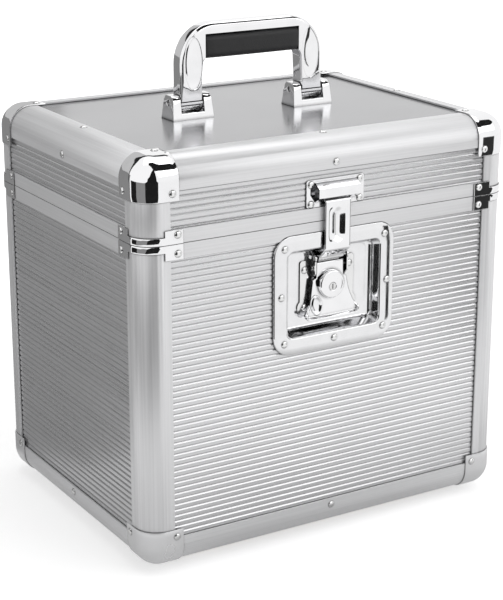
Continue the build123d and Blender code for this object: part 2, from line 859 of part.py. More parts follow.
def hinge_leaves(body_side):
    """Two leaves on the back: joggled over the rim onto the panel, with their share of the knuckles."""
    direction = -1 if body_side else 1
    base_z = split_z if body_side else lid_bottom
    rim = body_rim_height if body_side else lid_rim_height
    reach = hinge_body_drop if body_side else hinge_lid_rise
    axis_z = split_z + seam_gap / 2
    pitch = hinge_width / hinge_knuckles
    first = 0 if body_side else 1
    joggle = rim + hinge_joggle_gap
    web_end = hinge_relief + hinge_web_overlap
    with BuildPart() as leaves:
        for centre in (-hinge_x, hinge_x):
            left = cross_plane(centre, half_depth, base_z)
            with BuildSketch(left):
                with BuildLine():
                    Polyline(
                        (0, direction * hinge_relief),
                        (hinge_leaf, direction * hinge_relief),
                        (hinge_leaf, direction * (joggle + hinge_leaf)),
                        (hinge_leaf - skin_face, direction * (joggle + hinge_leaf + skin_face)),
                        (hinge_leaf - skin_face, direction * reach),
                        (-skin_face, direction * reach),
                        (-skin_face, direction * (joggle + hinge_joggle_half)),
                        (0, direction * (joggle - hinge_joggle_half)),
                        close=True,
                    )
                make_face()
            extrude(amount=hinge_width / 2, both=True)
            for index in range(first, hinge_knuckles, 2):
                middle = centre - hinge_width / 2 + (index + 0.5) * pitch
                across = cross_plane(middle, half_depth, axis_z)
                with BuildSketch(across):
                    with Locations((hinge_axis_out, 0)):
                        Circle(hinge_knuckle_radius)
                    with BuildLine():
                        Polyline(
                            (hinge_web_back, direction * web_end),
                            (hinge_leaf, direction * web_end),
                            (hinge_axis_out, direction * hinge_web_outer),
                            (hinge_axis_out - hinge_web_outer, direction * hinge_web_back),
                            (hinge_web_back, direction * hinge_web_inner),
                            close=True,
                        )
                    make_face()
                    with Locations((hinge_axis_out, 0)):
                        Circle(hinge_pin_radius + hinge_pin_fit, mode=Mode.SUBTRACT)
                extrude(amount=(pitch - hinge_knuckle_gap) / 2, both=True)
    return leaves.part


def hinge_pins():
    """The two hinge pins, headed at both ends."""
    axis_z = split_z + seam_gap / 2
    with BuildPart() as pins:
        for centre in (-hinge_x, hinge_x):
            across = cross_plane(centre, half_depth, axis_z)
            with BuildSketch(across):
                with Locations((hinge_axis_out, 0)):
                    Circle(hinge_pin_radius)
            extrude(amount=hinge_width / 2 + hinge_pin_fit, both=True)
            for end in (-hinge_width / 2 - hinge_pin_fit - hinge_pin_head, hinge_width / 2 + hinge_pin_fit):
                with BuildSketch(across.offset(end)):
                    with Locations((hinge_axis_out, 0)):
                        Circle(hinge_pin_head_radius)
                extrude(amount=hinge_pin_head)
    return pins.part


def handle_brackets():
    """Two brackets on the top panel: a flanged foot, front and back sills and two rounded ears."""
    pivot_z = top_face + handle_pivot_rise
    ear = (bracket_length - bracket_gap) / 2 - bracket_ear_inset
    foot = bracket_width / 2 - bracket_corner
    with BuildPart() as brackets:
        for centre in (-handle_span / 2, handle_span / 2):
            with BuildSketch(Plane(origin=(centre, 0, top_face))):
                RectangleRounded(bracket_length, bracket_width, bracket_corner)
            extrude(amount=bracket_sill)
            with BuildSketch(Plane(origin=(centre, 0, top_face + bracket_floor))):
                Rectangle(bracket_gap, bracket_width - 2 * bracket_sill_wall)
            extrude(amount=bracket_sill, mode=Mode.SUBTRACT)
            for side in (-1, 1):
                with BuildSketch(cross_plane(centre + side * bracket_gap / 2, 0, 0)):
                    with BuildLine():
                        Polyline(
                            (-foot, top_face + bracket_ear_root),
                            (-bracket_ear_half, top_face + bracket_height - bracket_ear_bevel),
                            (bracket_ear_bevel - bracket_ear_half, top_face + bracket_height),
                            (bracket_ear_half - bracket_ear_bevel, top_face + bracket_height),
                            (bracket_ear_half, top_face + bracket_height - bracket_ear_bevel),
                            (foot, top_face + bracket_ear_root),
                            close=True,
                        )
                    make_face()
                extrude(amount=side * ear)
            with BuildSketch(cross_plane(centre, 0, pivot_z)):
                Circle(handle_pin_radius + handle_pin_fit)
            extrude(amount=bracket_length, both=True, mode=Mode.SUBTRACT)
    return brackets.part


def handle_pins():
    """Pivot pins of the handle, flush in the brackets' ears."""
    pivot_z = top_face + handle_pivot_rise
    with BuildPart() as pins:
        for centre in (-handle_span / 2, handle_span / 2):
            with BuildSketch(cross_plane(centre, 0, pivot_z)):
                Circle(handle_pin_radius)
            extrude(amount=bracket_length / 2 - bracket_ear_inset - handle_pin_sunk, both=True)
    return pins.part


def handle_bail():
    """Cast bail: two arms, rounded shoulders and a band over the grip, bevelled along its edges."""
    pivot_z = top_face + handle_pivot_rise
    top_z = top_face + handle_top_rise
    outer = handle_span / 2 + handle_arm_width / 2
    inner = handle_span / 2 - handle_arm_width / 2
    foot = handle_thickness / 2
    grip_half = handle_grip_length / 2
    grip_low = top_z - handle_band - handle_grip_height
    with BuildPart() as bail:
        with BuildSketch(Plane.XZ):
            with BuildLine():
                Polyline((-outer, pivot_z), (-outer, top_z - handle_corner_radius))
                RadiusArc(
                    (-outer, top_z - handle_corner_radius),
                    (-outer + handle_corner_radius, top_z),
                    handle_corner_radius,
                )
                Line((-outer + handle_corner_radius, top_z), (outer - handle_corner_radius, top_z))
                RadiusArc(
                    (outer - handle_corner_radius, top_z),
                    (outer, top_z - handle_corner_radius),
                    handle_corner_radius,
                )
                Polyline(
                    (outer, top_z - handle_corner_radius),
                    (outer, pivot_z),
                    (inner, pivot_z),
                    (inner, grip_low),
                    (grip_half, grip_low),
                    (grip_half, top_z - handle_band),
                    (-grip_half, top_z - handle_band),
                    (-grip_half, grip_low),
                    (-inner, grip_low),
                    (-inner, pivot_z),
                    (-outer, pivot_z),
                )
            make_face()
        extrude(amount=handle_thickness / 2, both=True)
        rims = [e for e in bail.edges() if abs(abs(e.center().Y) - foot) < 0.1]
        outside = [e for e in rims if abs(e.center().X) > grip_half + 0.1 or e.center().Z > top_z - 1]
        chamfer([e for e in outside if e.center().Z > pivot_z + 1], handle_edge_bevel)
        for centre in (-handle_span / 2, handle_span / 2):
            across = cross_plane(centre, 0, pivot_z)
            with BuildSketch(across):
                Circle(foot)
            extrude(amount=handle_arm_width / 2, both=True)
            with BuildSketch(across):
                Circle(handle_pin_radius + handle_pin_fit)
            extrude(amount=handle_arm_width, both=True, mode=Mode.SUBTRACT)
    return bail.part


def handle_grip():
    """Soft grip under the bail's band, between its arms."""
    top_z = top_face + handle_top_rise - handle_band
    with BuildPart() as grip:
        with BuildSketch(cross_plane(0, 0, top_z - handle_grip_height / 2)):
            RectangleRounded(handle_grip_thickness, handle_grip_height, handle_grip_radius)
        extrude(amount=handle_grip_length / 2, both=True)
    return grip.part


def rivets(places):
    """Low domed rivet heads, each seated on its plane."""
    with BuildPart() as heads:
        with Locations(*places):
            Cone(
                rivet_radius,
                rivet_crown_radius,
                rivet_height,
                align=(Align.CENTER, Align.CENTER, Align.MIN),
            )
    return heads.part


def on_side(side, x, z, out):
    """Seat of a rivet on a side: x along the side, height z, out in front of the extrusions."""
    face = face_plane(side, 0, out)
    return Plane(origin=face.from_local_coords((x, z, 0)), x_dir=face.x_dir, z_dir=face.z_dir)


def on_level(x, y, up):
    """Seat of a rivet on the top (up) or on the bottom of the case."""
    z = case_top if up else case_bottom
    reach = cap_fit + cap_wall
    return Plane(origin=(x, y, z + reach if up else z - reach), z_dir=(0, 0, 1 if up else -1))


def body_rivet_places():
    """Seats of every rivet on the body."""
    cap_out = cap_fit + cap_wall
    places = []
    for side in ("front", "back", "left", "right"):
        corner = half_side(side) - cap_leg + cap_rivet_inset
        split = half_side(side) - bracket_leg + bracket_rivet_inset
        for x in (-corner, corner):
            places.append(on_side(side, x, case_bottom + cap_leg - cap_rivet_inset, cap_out))
        for x in (-split, split):
            places.append(on_side(side, x, split_z - bracket_rivet_height, cap_fit + bracket_wall))
        places.append(on_side(side, 0, case_bottom + edge_rivet_drop, 0))
    x = half_width - cap_leg + cap_rivet_inset
    y = half_depth - cap_leg + cap_rivet_inset
    for px, py in ((-x, -y), (-x, y), (x, -y), (x, y)):
        places.append(on_level(px, py, False))
    for x in (-dish_rivet_corner, dish_rivet_corner):
        for z in (-dish_rivet_rise, dish_rivet_rise):
            places.append(on_side("front", x, dish_z + z, dish_proud))
    for x in (-dish_rivet_side, dish_rivet_side):
        places.append(on_side("front", x, dish_z, dish_proud))
    places.append(on_side("front", 0, dish_z - dish_rivet_low, dish_proud))
    for x in (-base_rivet_x, base_rivet_x):
        for z in (base_rivet_high, base_rivet_low):
            places.append(on_side("front", x, split_z + z, base_thickness - dish_depth))
    for centre in (-hinge_x, hinge_x):
        for x in (-hinge_rivet_x, 0, hinge_rivet_x):
            places.append(on_side("back", centre + x, split_z - hinge_rivet_low, hinge_leaf - skin_face))
    return places


def lid_rivet_places():
    """Seats of every rivet on the lid."""
    cap_out = cap_fit + cap_wall
    places = []
    for side in ("front", "back", "left", "right"):
        corner = half_side(side) - cap_leg + cap_rivet_inset
        split = half_side(side) - bracket_leg + bracket_rivet_inset
        for x in (-corner, corner):
            places.append(on_side(side, x, case_top - cap_leg + cap_rivet_inset, cap_out))
        for x in (-split, split):
            places.append(on_side(side, x, lid_bottom + bracket_rivet_height, cap_fit + bracket_wall))
        places.append(on_side(side, 0, case_top - edge_rivet_drop, 0))
    x = half_width - cap_leg + cap_rivet_inset
    y = half_depth - cap_leg + cap_rivet_inset
    for px, py in ((-x, -y), (-x, y), (x, -y), (x, y)):
        places.append(on_level(px, py, True))
    middle_x = half_width - edge_rivet_drop
    middle_y = half_depth - edge_rivet_drop
    for px, py in ((0, -middle_y), (0, middle_y), (-middle_x, 0), (middle_x, 0)):
        places.append(Plane(origin=(px, py, case_top), z_dir=(0, 0, 1)))
    for centre in (-handle_span / 2, handle_span / 2):
        for x in (-bracket_rivet_x, bracket_rivet_x):
            places.append(Plane(origin=(centre + x, 0, top_face + bracket_floor), z_dir=(0, 0, 1)))
    for x in (-catch_rivet_x, catch_rivet_x):
        for z in catch_rivet_z:
            places.append(on_side("front", x, split_z + z, catch_sheet - skin_face))
    for centre in (-hinge_x, hinge_x):
        for x in (-hinge_rivet_x, 0, hinge_rivet_x):
            places.append(on_side("back", centre + x, lid_bottom + hinge_rivet_high, hinge_leaf - skin_face))
    return places


# ---------------------------------------------------------------- write every piece
pieces = {}
for side in ("front", "back", "left", "right"):
    body_low = case_bottom + panel_start
    body_high = body_slot_top - end_fit
    lid_low = lid_slot_bottom + end_fit
    lid_high = case_top - panel_start
    pieces[f"body_{side}_panel"] = side_board(side, body_low, body_high)
    pieces[f"body_{side}_skin"] = side_skin(side, body_low, body_high)
    pieces[f"bottom_{side}_edge"] = edge_bar(side, case_bottom, 1)
    pieces[f"body_{side}_rim"] = body_rim(side)
    pieces[f"lid_{side}_panel"] = side_board(side, lid_low, lid_high)
    pieces[f"lid_{side}_edge"] = edge_bar(side, case_top, -1)
    pieces[f"lid_{side}_rim"] = lid_rim(side)

with BuildPart() as lid_skins:
    for side in ("front", "back", "left", "right"):
        add(side_skin(side, lid_slot_bottom + end_fit, case_top - panel_start))
pieces["lid_skins"] = lid_skins.part

with BuildPart() as lid_posts:
    for sx in (-1, 1):
        for sy in (-1, 1):
            add(corner_post(sx, sy, lid_bottom, case_top - edge_radius))
pieces["lid_posts"] = lid_posts.part

for name, sx, sy in (
    ("front_left", -1, -1),
    ("front_right", 1, -1),
    ("back_left", -1, 1),
    ("back_right", 1, 1),
):
    pieces[f"body_{name}_post"] = corner_post(sx, sy, case_bottom + edge_radius, split_z)

pieces["bottom_panel"] = level_panel(case_bottom + skin_face, case_bottom + board_back)
pieces["top_panel"] = level_panel(case_top - board_back, top_face)
pieces["body_lining"] = lining(case_bottom + lining_face, split_z - lining_drop, True)
pieces["lid_lining"] = lining(lid_bottom + lining_drop, case_top - lining_face, False)
pieces["bottom_corners"] = corner_caps(True)
pieces["lid_corners"] = corner_caps(False)
pieces["body_rim_corners"] = split_brackets(True)
pieces["lid_rim_corners"] = split_brackets(False)
pieces["feet"] = feet()
pieces["latch_dish"] = latch_dish()
pieces["latch_base"] = latch_base()
pieces["latch_pins"] = latch_pins()
pieces["latch_lever"] = latch_lever()
pieces["lock_barrel"] = lock_barrel()
pieces["lock_plug"] = lock_plug()
pieces["hasp"] = hasp()
pieces["catch"] = catch()
pieces["body_hinge_leaves"] = hinge_leaves(True)
pieces["lid_hinge_leaves"] = hinge_leaves(False)
pieces["hinge_pins"] = hinge_pins()
pieces["handle_brackets"] = handle_brackets()
pieces["handle_pins"] = handle_pins()
pieces["handle_bail"] = handle_bail()
pieces["handle_grip"] = handle_grip()
pieces["body_rivets"] = rivets(body_rivet_places())
pieces["lid_rivets"] = rivets(lid_rivet_places())

for label, piece in pieces.items():
    piece.label = label
    export_step(piece, f"parts/{label}.step")
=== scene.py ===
"""Looks of the record carrying case: aluminium edges, ribbed skins, chrome corners, latch and handle.

Lengths in the tables are millimetres; the scene itself is in metres.  X runs to the right seen from the
latch, Y to the back and Z up.
"""

import json
import math

import bmesh
import bpy
import numpy as np
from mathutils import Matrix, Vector

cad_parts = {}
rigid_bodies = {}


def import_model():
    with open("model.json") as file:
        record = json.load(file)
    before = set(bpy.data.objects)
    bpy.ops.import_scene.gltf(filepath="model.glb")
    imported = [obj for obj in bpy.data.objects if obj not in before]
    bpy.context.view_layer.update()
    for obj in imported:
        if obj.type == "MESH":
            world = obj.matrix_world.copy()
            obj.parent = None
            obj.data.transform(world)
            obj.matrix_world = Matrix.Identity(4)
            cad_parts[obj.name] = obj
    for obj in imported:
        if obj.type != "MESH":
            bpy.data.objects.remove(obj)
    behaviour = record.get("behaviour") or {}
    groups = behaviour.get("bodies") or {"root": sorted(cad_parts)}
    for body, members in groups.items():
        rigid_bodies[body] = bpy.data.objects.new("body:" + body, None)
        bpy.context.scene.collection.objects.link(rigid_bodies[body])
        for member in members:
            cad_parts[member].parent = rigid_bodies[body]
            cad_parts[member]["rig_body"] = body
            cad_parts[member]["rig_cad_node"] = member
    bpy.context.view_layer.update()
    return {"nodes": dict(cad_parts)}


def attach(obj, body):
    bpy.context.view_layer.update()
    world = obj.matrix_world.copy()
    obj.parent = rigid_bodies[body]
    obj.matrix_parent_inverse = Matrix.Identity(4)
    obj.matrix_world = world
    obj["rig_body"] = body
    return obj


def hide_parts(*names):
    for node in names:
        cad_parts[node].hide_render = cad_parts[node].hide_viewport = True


MM = 0.001

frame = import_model()
nodes = frame["nodes"]

SIDES = ("front", "back", "left", "right")
HALF_WIDTH = 178.0
HALF_DEPTH = 137.5
CASE_BOTTOM = 6.0
CASE_TOP = 347.5
SPLIT = 279.5


# ---------------------------------------------------------------- shared surface effects
def new_group(name, inputs, outputs):
    """Empty shader group with named sockets: each input is (name, kind, default)."""
    group = bpy.data.node_groups.new(name, "ShaderNodeTree")
    for label, kind, default in inputs:
        socket = group.interface.new_socket(label, in_out="INPUT", socket_type=f"NodeSocket{kind}")
        if default is not None:
            socket.default_value = default
    for label, kind in outputs:
        group.interface.new_socket(label, in_out="OUTPUT", socket_type=f"NodeSocket{kind}")
    return group, group.nodes.new("NodeGroupInput"), group.nodes.new("NodeGroupOutput")


def node(tree, kind, links=(), **settings):
    """Adds a node; settings name its properties, links its inputs as (input, source socket or value)."""
    made = tree.nodes.new(kind)
    for key, value in settings.items():
        setattr(made, key, value)
    for key, source in links:
        if isinstance(source, bpy.types.NodeSocket):
            tree.links.new(source, made.inputs[key])
        else:
            made.inputs[key].default_value = source
    return made


def math_node(tree, operation, a, b=0.0, c=0.0, clamp=False):
    """Result of one calculation with up to three values or sockets."""
    made = node(tree, "ShaderNodeMath", ((0, a), (1, b), (2, c)), operation=operation, use_clamp=clamp)
    return made.outputs[0]


def ranged(tree, value, low, high, to_low, to_high):
    """Value moved from one range to another, held at its ends."""
    links = (("Value", value), ("From Min", low), ("From Max", high), ("To Min", to_low), ("To Max", to_high))
    return node(tree, "ShaderNodeMapRange", links).outputs["Result"]


def own_place(tree):
    """Coordinates of the piece itself, in metres."""
    return node(tree, "ShaderNodeTexCoord").outputs["Object"]


def noise(tree, vector, scale, detail, distortion=0.0):
    """Smooth noise between 0 and 1."""
    links = (("Vector", vector), ("Scale", scale), ("Detail", detail), ("Distortion", distortion))
    return node(tree, "ShaderNodeTexNoise", links).outputs["Fac"]


def make_drawn_grain():
    """Fine lines left by drawing or brushing; the vector is already stretched along the metal."""
    inputs = (
        ("Vector", "Vector", None),
        ("Tone Depth", "Float", 0.1),
        ("Roughness", "Float", 0.3),
        ("Roughness Spread", "Float", 0.1),
    )
    outputs = (("Tone", "Float"), ("Roughness", "Float"), ("Height", "Float"))
    group, given, result = new_group("drawn_grain", inputs, outputs)
    fine = noise(group, given.outputs["Vector"], 1.0, 3.0)
    wide = noise(group, given.outputs["Vector"], 0.13, 2.0)
    lines = math_node(group, "MULTIPLY_ADD", wide, 0.6, fine)
    spread = ranged(group, lines, 0.55, 1.05, -1.0, 1.0)
    tone = math_node(group, "MULTIPLY_ADD", spread, given.outputs["Tone Depth"], 1.0)
    spread_by, middle = given.outputs["Roughness Spread"], given.outputs["Roughness"]
    rough = math_node(group, "MULTIPLY_ADD", spread, spread_by, middle)
    group.links.new(tone, result.inputs["Tone"])
    group.links.new(rough, result.inputs["Roughness"])
    group.links.new(fine, result.inputs["Height"])
    return group


def make_handling_marks():
    """Faint smudges from hands and cloths: slow patches that change how sharply a metal mirrors."""
    inputs = (("Scale", "Float", 18.0), ("Depth", "Float", 0.08))
    group, given, result = new_group("handling_marks", inputs, (("Marks", "Float"), ("Cloud", "Float")))
    slow = noise(group, own_place(group), given.outputs["Scale"], 5.0)
    cloud = ranged(group, slow, 0.42, 0.68, 0.0, 1.0)
    group.links.new(math_node(group, "MULTIPLY", cloud, given.outputs["Depth"]), result.inputs["Marks"])
    group.links.new(cloud, result.inputs["Cloud"])
    return group


def make_edge_wear():
    """Mask of the outer edges, broken up by noise, where the finish is rubbed bright."""
    inputs = (("Radius", "Float", 0.0008), ("Amount", "Float", 0.5))
    group, given, result = new_group("edge_wear", inputs, (("Worn", "Float"),))
    soft = node(group, "ShaderNodeBevel", (("Radius", given.outputs["Radius"]),), samples=4)
    flat = node(group, "ShaderNodeNewGeometry")
    normals = ((0, soft.outputs["Normal"]), (1, flat.outputs["Normal"]))
    turned = node(group, "ShaderNodeVectorMath", normals, operation="DOT_PRODUCT")
    edge = ranged(group, turned.outputs["Value"], 0.985, 0.85, 0.0, 1.0)
    broken = ranged(group, noise(group, own_place(group), 220.0, 4.0), 0.4, 0.62, 0.2, 1.0)
    worn = math_node(group, "MULTIPLY", math_node(group, "MULTIPLY", edge, broken), given.outputs["Amount"])
    group.links.new(worn, result.inputs["Worn"])
    return group


def make_seam_shade():
    """Painted shade in narrow seams: a factor that falls from 1 where two pieces nearly touch."""
    inputs = (("Reach", "Float", 0.0015), ("Depth", "Float", 0.7))
    group, given, result = new_group("seam_shade", inputs, (("Shade", "Float"),))
    open_sky = node(group, "ShaderNodeAmbientOcclusion", (("Distance", given.outputs["Reach"]),), samples=6)
    closed = ranged(group, open_sky.outputs["AO"], 0.95, 0.45, 0.0, 1.0)
    depth = math_node(group, "MULTIPLY", closed, given.outputs["Depth"])
    group.links.new(math_node(group, "SUBTRACT", 1.0, depth), result.inputs["Shade"])
    return group


seam_shade = make_seam_shade()
drawn_grain = make_drawn_grain()
handling_marks = make_handling_marks()
edge_wear = make_edge_wear()


# ---------------------------------------------------------------- finishes
def new_finish(name, **constants):
    """Material with one Principled shader; constants are set on the shader's own sockets."""
    finish = bpy.data.materials.new(name)
    finish.use_nodes = True
    tree = finish.node_tree
    shader = tree.nodes["Principled BSDF"]
    for socket, value in constants.items():
        shader.inputs[socket.replace("_", " ").title().replace("Ior", "IOR")].default_value = value
    return finish, tree, shader


def use_group(tree, group, links=()):
    """One of the shared effects, placed in a finish."""
    return node(tree, "ShaderNodeGroup", links, node_tree=group)


def stretched_place(tree, scale):
    """Object coordinates stretched along the grain: scale is per axis, in lines per metre."""
    return node(tree, "ShaderNodeMapping", (("Vector", own_place(tree)), ("Scale", scale))).outputs["Vector"]


def mixed(tree, factor, first, second):
    """Colour between two colours, each a socket or three numbers."""
    colours = [c if isinstance(c, bpy.types.NodeSocket) else (*c, 1.0) for c in (first, second)]
    links = ((0, factor), (6, colours[0]), (7, colours[1]))
    return node(tree, "ShaderNodeMix", links, data_type="RGBA").outputs[2]


def scaled(tree, colour, factor):
    """Colour times a factor."""
    made = node(tree, "ShaderNodeVectorMath", ((0, colour), ("Scale", factor)), operation="SCALE")
    return made.outputs["Vector"]


def seam_darkened(tree, colour, reach):
    """Colour darkened by painted shade where another piece is closer than the reach."""
    seam = use_group(tree, seam_shade, (("Reach", reach), ("Depth", 0.75)))
    return scaled(tree, colour, seam.outputs["Shade"])


def link_surface(tree, shader, colour, roughness, height, distance, strength=1.0):
    """Joins colour, roughness and fine relief to the shader; the relief's distance is in metres."""
    tree.links.new(colour, shader.inputs["Base Color"])
    tree.links.new(roughness, shader.inputs["Roughness"])
    links = (("Height", height), ("Distance", distance), ("Strength", strength))
    tree.links.new(node(tree, "ShaderNodeBump", links).outputs["Normal"], shader.inputs["Normal"])


def drawn_metal(name, colour, scale, roughness, spread, tone_depth, bump, wear=0.35, metallic=0.6):
    """Aluminium with lines along its length, smudges, brighter edges and painted shade in its seams."""
    finish, tree, shader = new_finish(name, metallic=metallic)
    links = (
        ("Vector", stretched_place(tree, scale)),
        ("Tone Depth", tone_depth),
        ("Roughness", roughness),
        ("Roughness Spread", spread),
    )
    grain = use_group(tree, drawn_grain, links)
    marks = use_group(tree, handling_marks, (("Scale", 9.0), ("Depth", 0.05)))
    worn = use_group(tree, edge_wear, (("Radius", 0.0007), ("Amount", wear)))
    toned = scaled(tree, colour, grain.outputs["Tone"])
    bright = mixed(tree, worn.outputs["Worn"], toned, (0.93, 0.93, 0.94))
    rough = math_node(tree, "ADD", grain.outputs["Roughness"], marks.outputs["Marks"], clamp=True)
    # the colour carries painted shade in its seams
    link_surface(tree, shader, seam_darkened(tree, bright, 0.0014), rough, grain.outputs["Height"], bump, 0.5)
    return finish


def mirror_metal(name, colour, roughness, marks_depth, ripple):
    """Plated metal: nearly a mirror, with smudges, painted shade in its seams and the slight unevenness of
    pressed sheet.
    """
    finish, tree, shader = new_finish(name, metallic=1.0)
    marks = use_group(tree, handling_marks, (("Scale", 55.0), ("Depth", marks_depth)))
    worn = use_group(tree, edge_wear, (("Radius", 0.0005), ("Amount", 0.35)))
    tint = mixed(tree, marks.outputs["Cloud"], colour, [0.96 * c for c in colour])
    rough = math_node(tree, "ADD", marks.outputs["Marks"], roughness)
    rough = math_node(tree, "MULTIPLY_ADD", worn.outputs["Worn"], 0.12, rough, clamp=True)
    dents = noise(tree, own_place(tree), 90.0, 1.0)
    # the colour carries painted shade in its seams
    link_surface(tree, shader, seam_darkened(tree, tint, 0.003), rough, dents, ripple, 0.4)
    return finish


def black_grip_finish():
    """Soft black moulding of the grip: fine pebbled skin, a little shine where the hand rubs."""
    finish, tree, shader = new_finish("black_grip", specular_ior_level=0.45)
    pebble = node(tree, "ShaderNodeTexVoronoi", (("Vector", own_place(tree)), ("Scale", 1400.0)))
    blotch = use_group(tree, handling_marks, (("Scale", 60.0), ("Depth", 0.14)))
    tint = mixed(tree, blotch.outputs["Cloud"], (0.013, 0.013, 0.014), (0.022, 0.022, 0.023))
    rough = math_node(tree, "ADD", blotch.outputs["Marks"], 0.42)
    link_surface(tree, shader, tint, rough, pebble.outputs["Distance"], 0.0002, 0.6)
    return finish


def foot_rubber_finish():
    """Black rubber of the feet, dusty and dull."""
    finish, tree, shader = new_finish("foot_rubber", specular_ior_level=0.3)
    dust = noise(tree, own_place(tree), 260.0, 6.0)
    tint = mixed(tree, ranged(tree, dust, 0.5, 0.75, 0.0, 1.0), (0.02, 0.02, 0.02), (0.06, 0.058, 0.055))
    link_surface(tree, shader, tint, ranged(tree, dust, 0.3, 0.7, 0.62, 0.85), dust, 0.0003)
    return finish


def plywood_finish():
    """Birch ply of the boards: pale veneer with long, faint growth lines."""
    finish, tree, shader = new_finish("plywood")
    grain = noise(tree, stretched_place(tree, (2.0, 60.0, 160.0)), 5.0, 5.0)
    tint = mixed(tree, ranged(tree, grain, 0.35, 0.65, 0.0, 1.0), (0.42, 0.28, 0.15), (0.62, 0.46, 0.28))
    link_surface(tree, shader, tint, ranged(tree, grain, 0.3, 0.7, 0.55, 0.75), grain, 0.0002)
    return finish


def lining_felt_finish():
    """Short-pile black lining: matted fibres, a soft sheen and slightly paler brushed patches."""
    sheen = {"sheen_weight": 0.35, "sheen_roughness": 0.6}
    finish, tree, shader = new_finish("lining_felt", specular_ior_level=0.15, **sheen)
    place = own_place(tree)
    fibre = noise(tree, place, 900.0, 5.0, 1.5)
    blend = math_node(tree, "MULTIPLY_ADD", noise(tree, place, 14.0, 3.0), 0.7, fibre)
    paler = ranged(tree, blend, 0.65, 1.05, 0.0, 1.0)
    tint = mixed(tree, paler, (0.012, 0.012, 0.013), (0.045, 0.045, 0.048))
    link_surface(tree, shader, tint, ranged(tree, fibre, 0.3, 0.7, 0.8, 0.98), fibre, 0.0008)
    return finish


ALUMINIUM = (0.80, 0.80, 0.81)
SKIN = (0.70, 0.70, 0.71)
CHROME = (0.92, 0.92, 0.93)
TOP_SHEET = (0.37, 0.37, 0.38)

# per kind of drawn aluminium: roughness, its spread, depth of tone, relief in metres, wear, metallic
EXTRUDED = (0.45, 0.05, 0.05, 0.00006)
UPRIGHT = (0.38, 0.05, 0.08, 0.00006)
RIBBED = (0.28, 0.06, 0.05, 0.00004, 0.2, 0.85)
BRUSHED = (0.17, 0.04, 0.07, 0.00003, 0.1, 0.9)
SATIN = (0.26, 0.04, 0.02, 0.00002, 0.08)

extrusion_x = drawn_metal("extrusion_along_x", ALUMINIUM, (5.0, 900.0, 900.0), *EXTRUDED)
extrusion_y = drawn_metal("extrusion_along_y", ALUMINIUM, (900.0, 5.0, 900.0), *EXTRUDED)
extrusion_z = drawn_metal("extrusion_along_z", ALUMINIUM, (520.0, 520.0, 4.0), *UPRIGHT)
ribbed_x = drawn_metal("ribbed_skin_along_x", SKIN, (9.0, 1200.0, 1200.0), *RIBBED)
ribbed_y = drawn_metal("ribbed_skin_along_y", SKIN, (1200.0, 9.0, 1200.0), *RIBBED)
brushed_top = drawn_metal("brushed_top", TOP_SHEET, (6.0, 800.0, 800.0), *BRUSHED)
corner_satin = drawn_metal("pressed_satin", ALUMINIUM, (60.0, 60.0, 60.0), *SATIN)
bright_chrome = mirror_metal("bright_chrome", CHROME, 0.03, 0.04, 0.00006)
dish_chrome = mirror_metal("dish_chrome", (0.86, 0.86, 0.87), 0.08, 0.06, 0.00006)
rivet_steel = mirror_metal("rivet_steel", (0.84, 0.84, 0.84), 0.12, 0.06, 0.00003)
plug_nickel = mirror_metal("plug_nickel", (0.80, 0.80, 0.80), 0.2, 0.1, 0.00003)
black_grip = black_grip_finish()
foot_rubber = foot_rubber_finish()
plywood = plywood_finish()
lining_felt = lining_felt_finish()


# ---------------------------------------------------------------- mesh tools
def dress(mesh, name, finish, body, replaced=(), smooth=30.0):
    """Piece from a mesh: welded, smooth up to an angle, with its finish, riding on its CAD body."""
    bm = bmesh.new()
    bm.from_mesh(mesh)
    bmesh.ops.remove_doubles(bm, verts=bm.verts, dist=1e-6)
    bmesh.ops.recalc_face_normals(bm, faces=bm.faces)
    bm.to_mesh(mesh)
    bm.free()
    mesh.shade_smooth()
    mesh.set_sharp_from_angle(angle=math.radians(smooth))
    mesh.materials.append(finish)
    piece = bpy.data.objects.new(name, mesh)
    bpy.context.scene.collection.objects.link(piece)
    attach(piece, body)
    if replaced:
        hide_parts(*replaced)
    return piece


def new_piece(name, points, faces, finish, body, replaced=(), smooth=30.0):
    """Piece from points in millimetres and faces over them."""
    mesh = bpy.data.meshes.new(name)
    mesh.from_pydata([Vector(p) * MM for p in points], [], faces)
    return dress(mesh, name, finish, body, replaced, smooth)


def built_piece(bm, name, finish, body, replaced=(), smooth=30.0):
    """Piece from a mesh under construction, which is used up."""
    mesh = bpy.data.meshes.new(name)
    bm.to_mesh(mesh)
    bm.free()
    return dress(mesh, name, finish, body, replaced, smooth)


def on_front(x, z, u):
    """Point on the latch side: z is measured from the lid split, u outwards from the extrusions."""
    return (x, -HALF_DEPTH - u, SPLIT + z)


def smooth_step(value, low, high):
    """Rises smoothly from 0 at low to 1 at high."""
    t = min(1.0, max(0.0, (value - low) / (high - low)))
    return t * t * (3 - 2 * t)


def circle(turns, across, up=None):
    """Points of a circle or oval about the origin, anticlockwise from the right."""
    up = across if up is None else up
    angles = [math.tau * k / turns for k in range(turns)]
    return [(across * math.cos(t), up * math.sin(t)) for t in angles]


def rounded_ring(half_w, half_h, radius, steps=7, lead=0.6):
    """Closed ring of a rounded rectangle; points a lead before and after each corner keep the sides flat."""
    ring = []
    for cx, cy, start in ((1, 1, 0), (-1, 1, 90), (-1, -1, 180), (1, -1, 270)):
        for index in (-1, *range(steps + 1), steps + 1):
            inside = min(steps, max(0, index))
            turn = math.radians(start + 90 * inside / steps)
            ahead = lead * (index - inside)
            x = cx * (half_w - radius) + radius * math.cos(turn) - ahead * math.sin(turn)
            y = cy * (half_h - radius) + radius * math.sin(turn) + ahead * math.cos(turn)
            ring.append((x, y))
    return ring


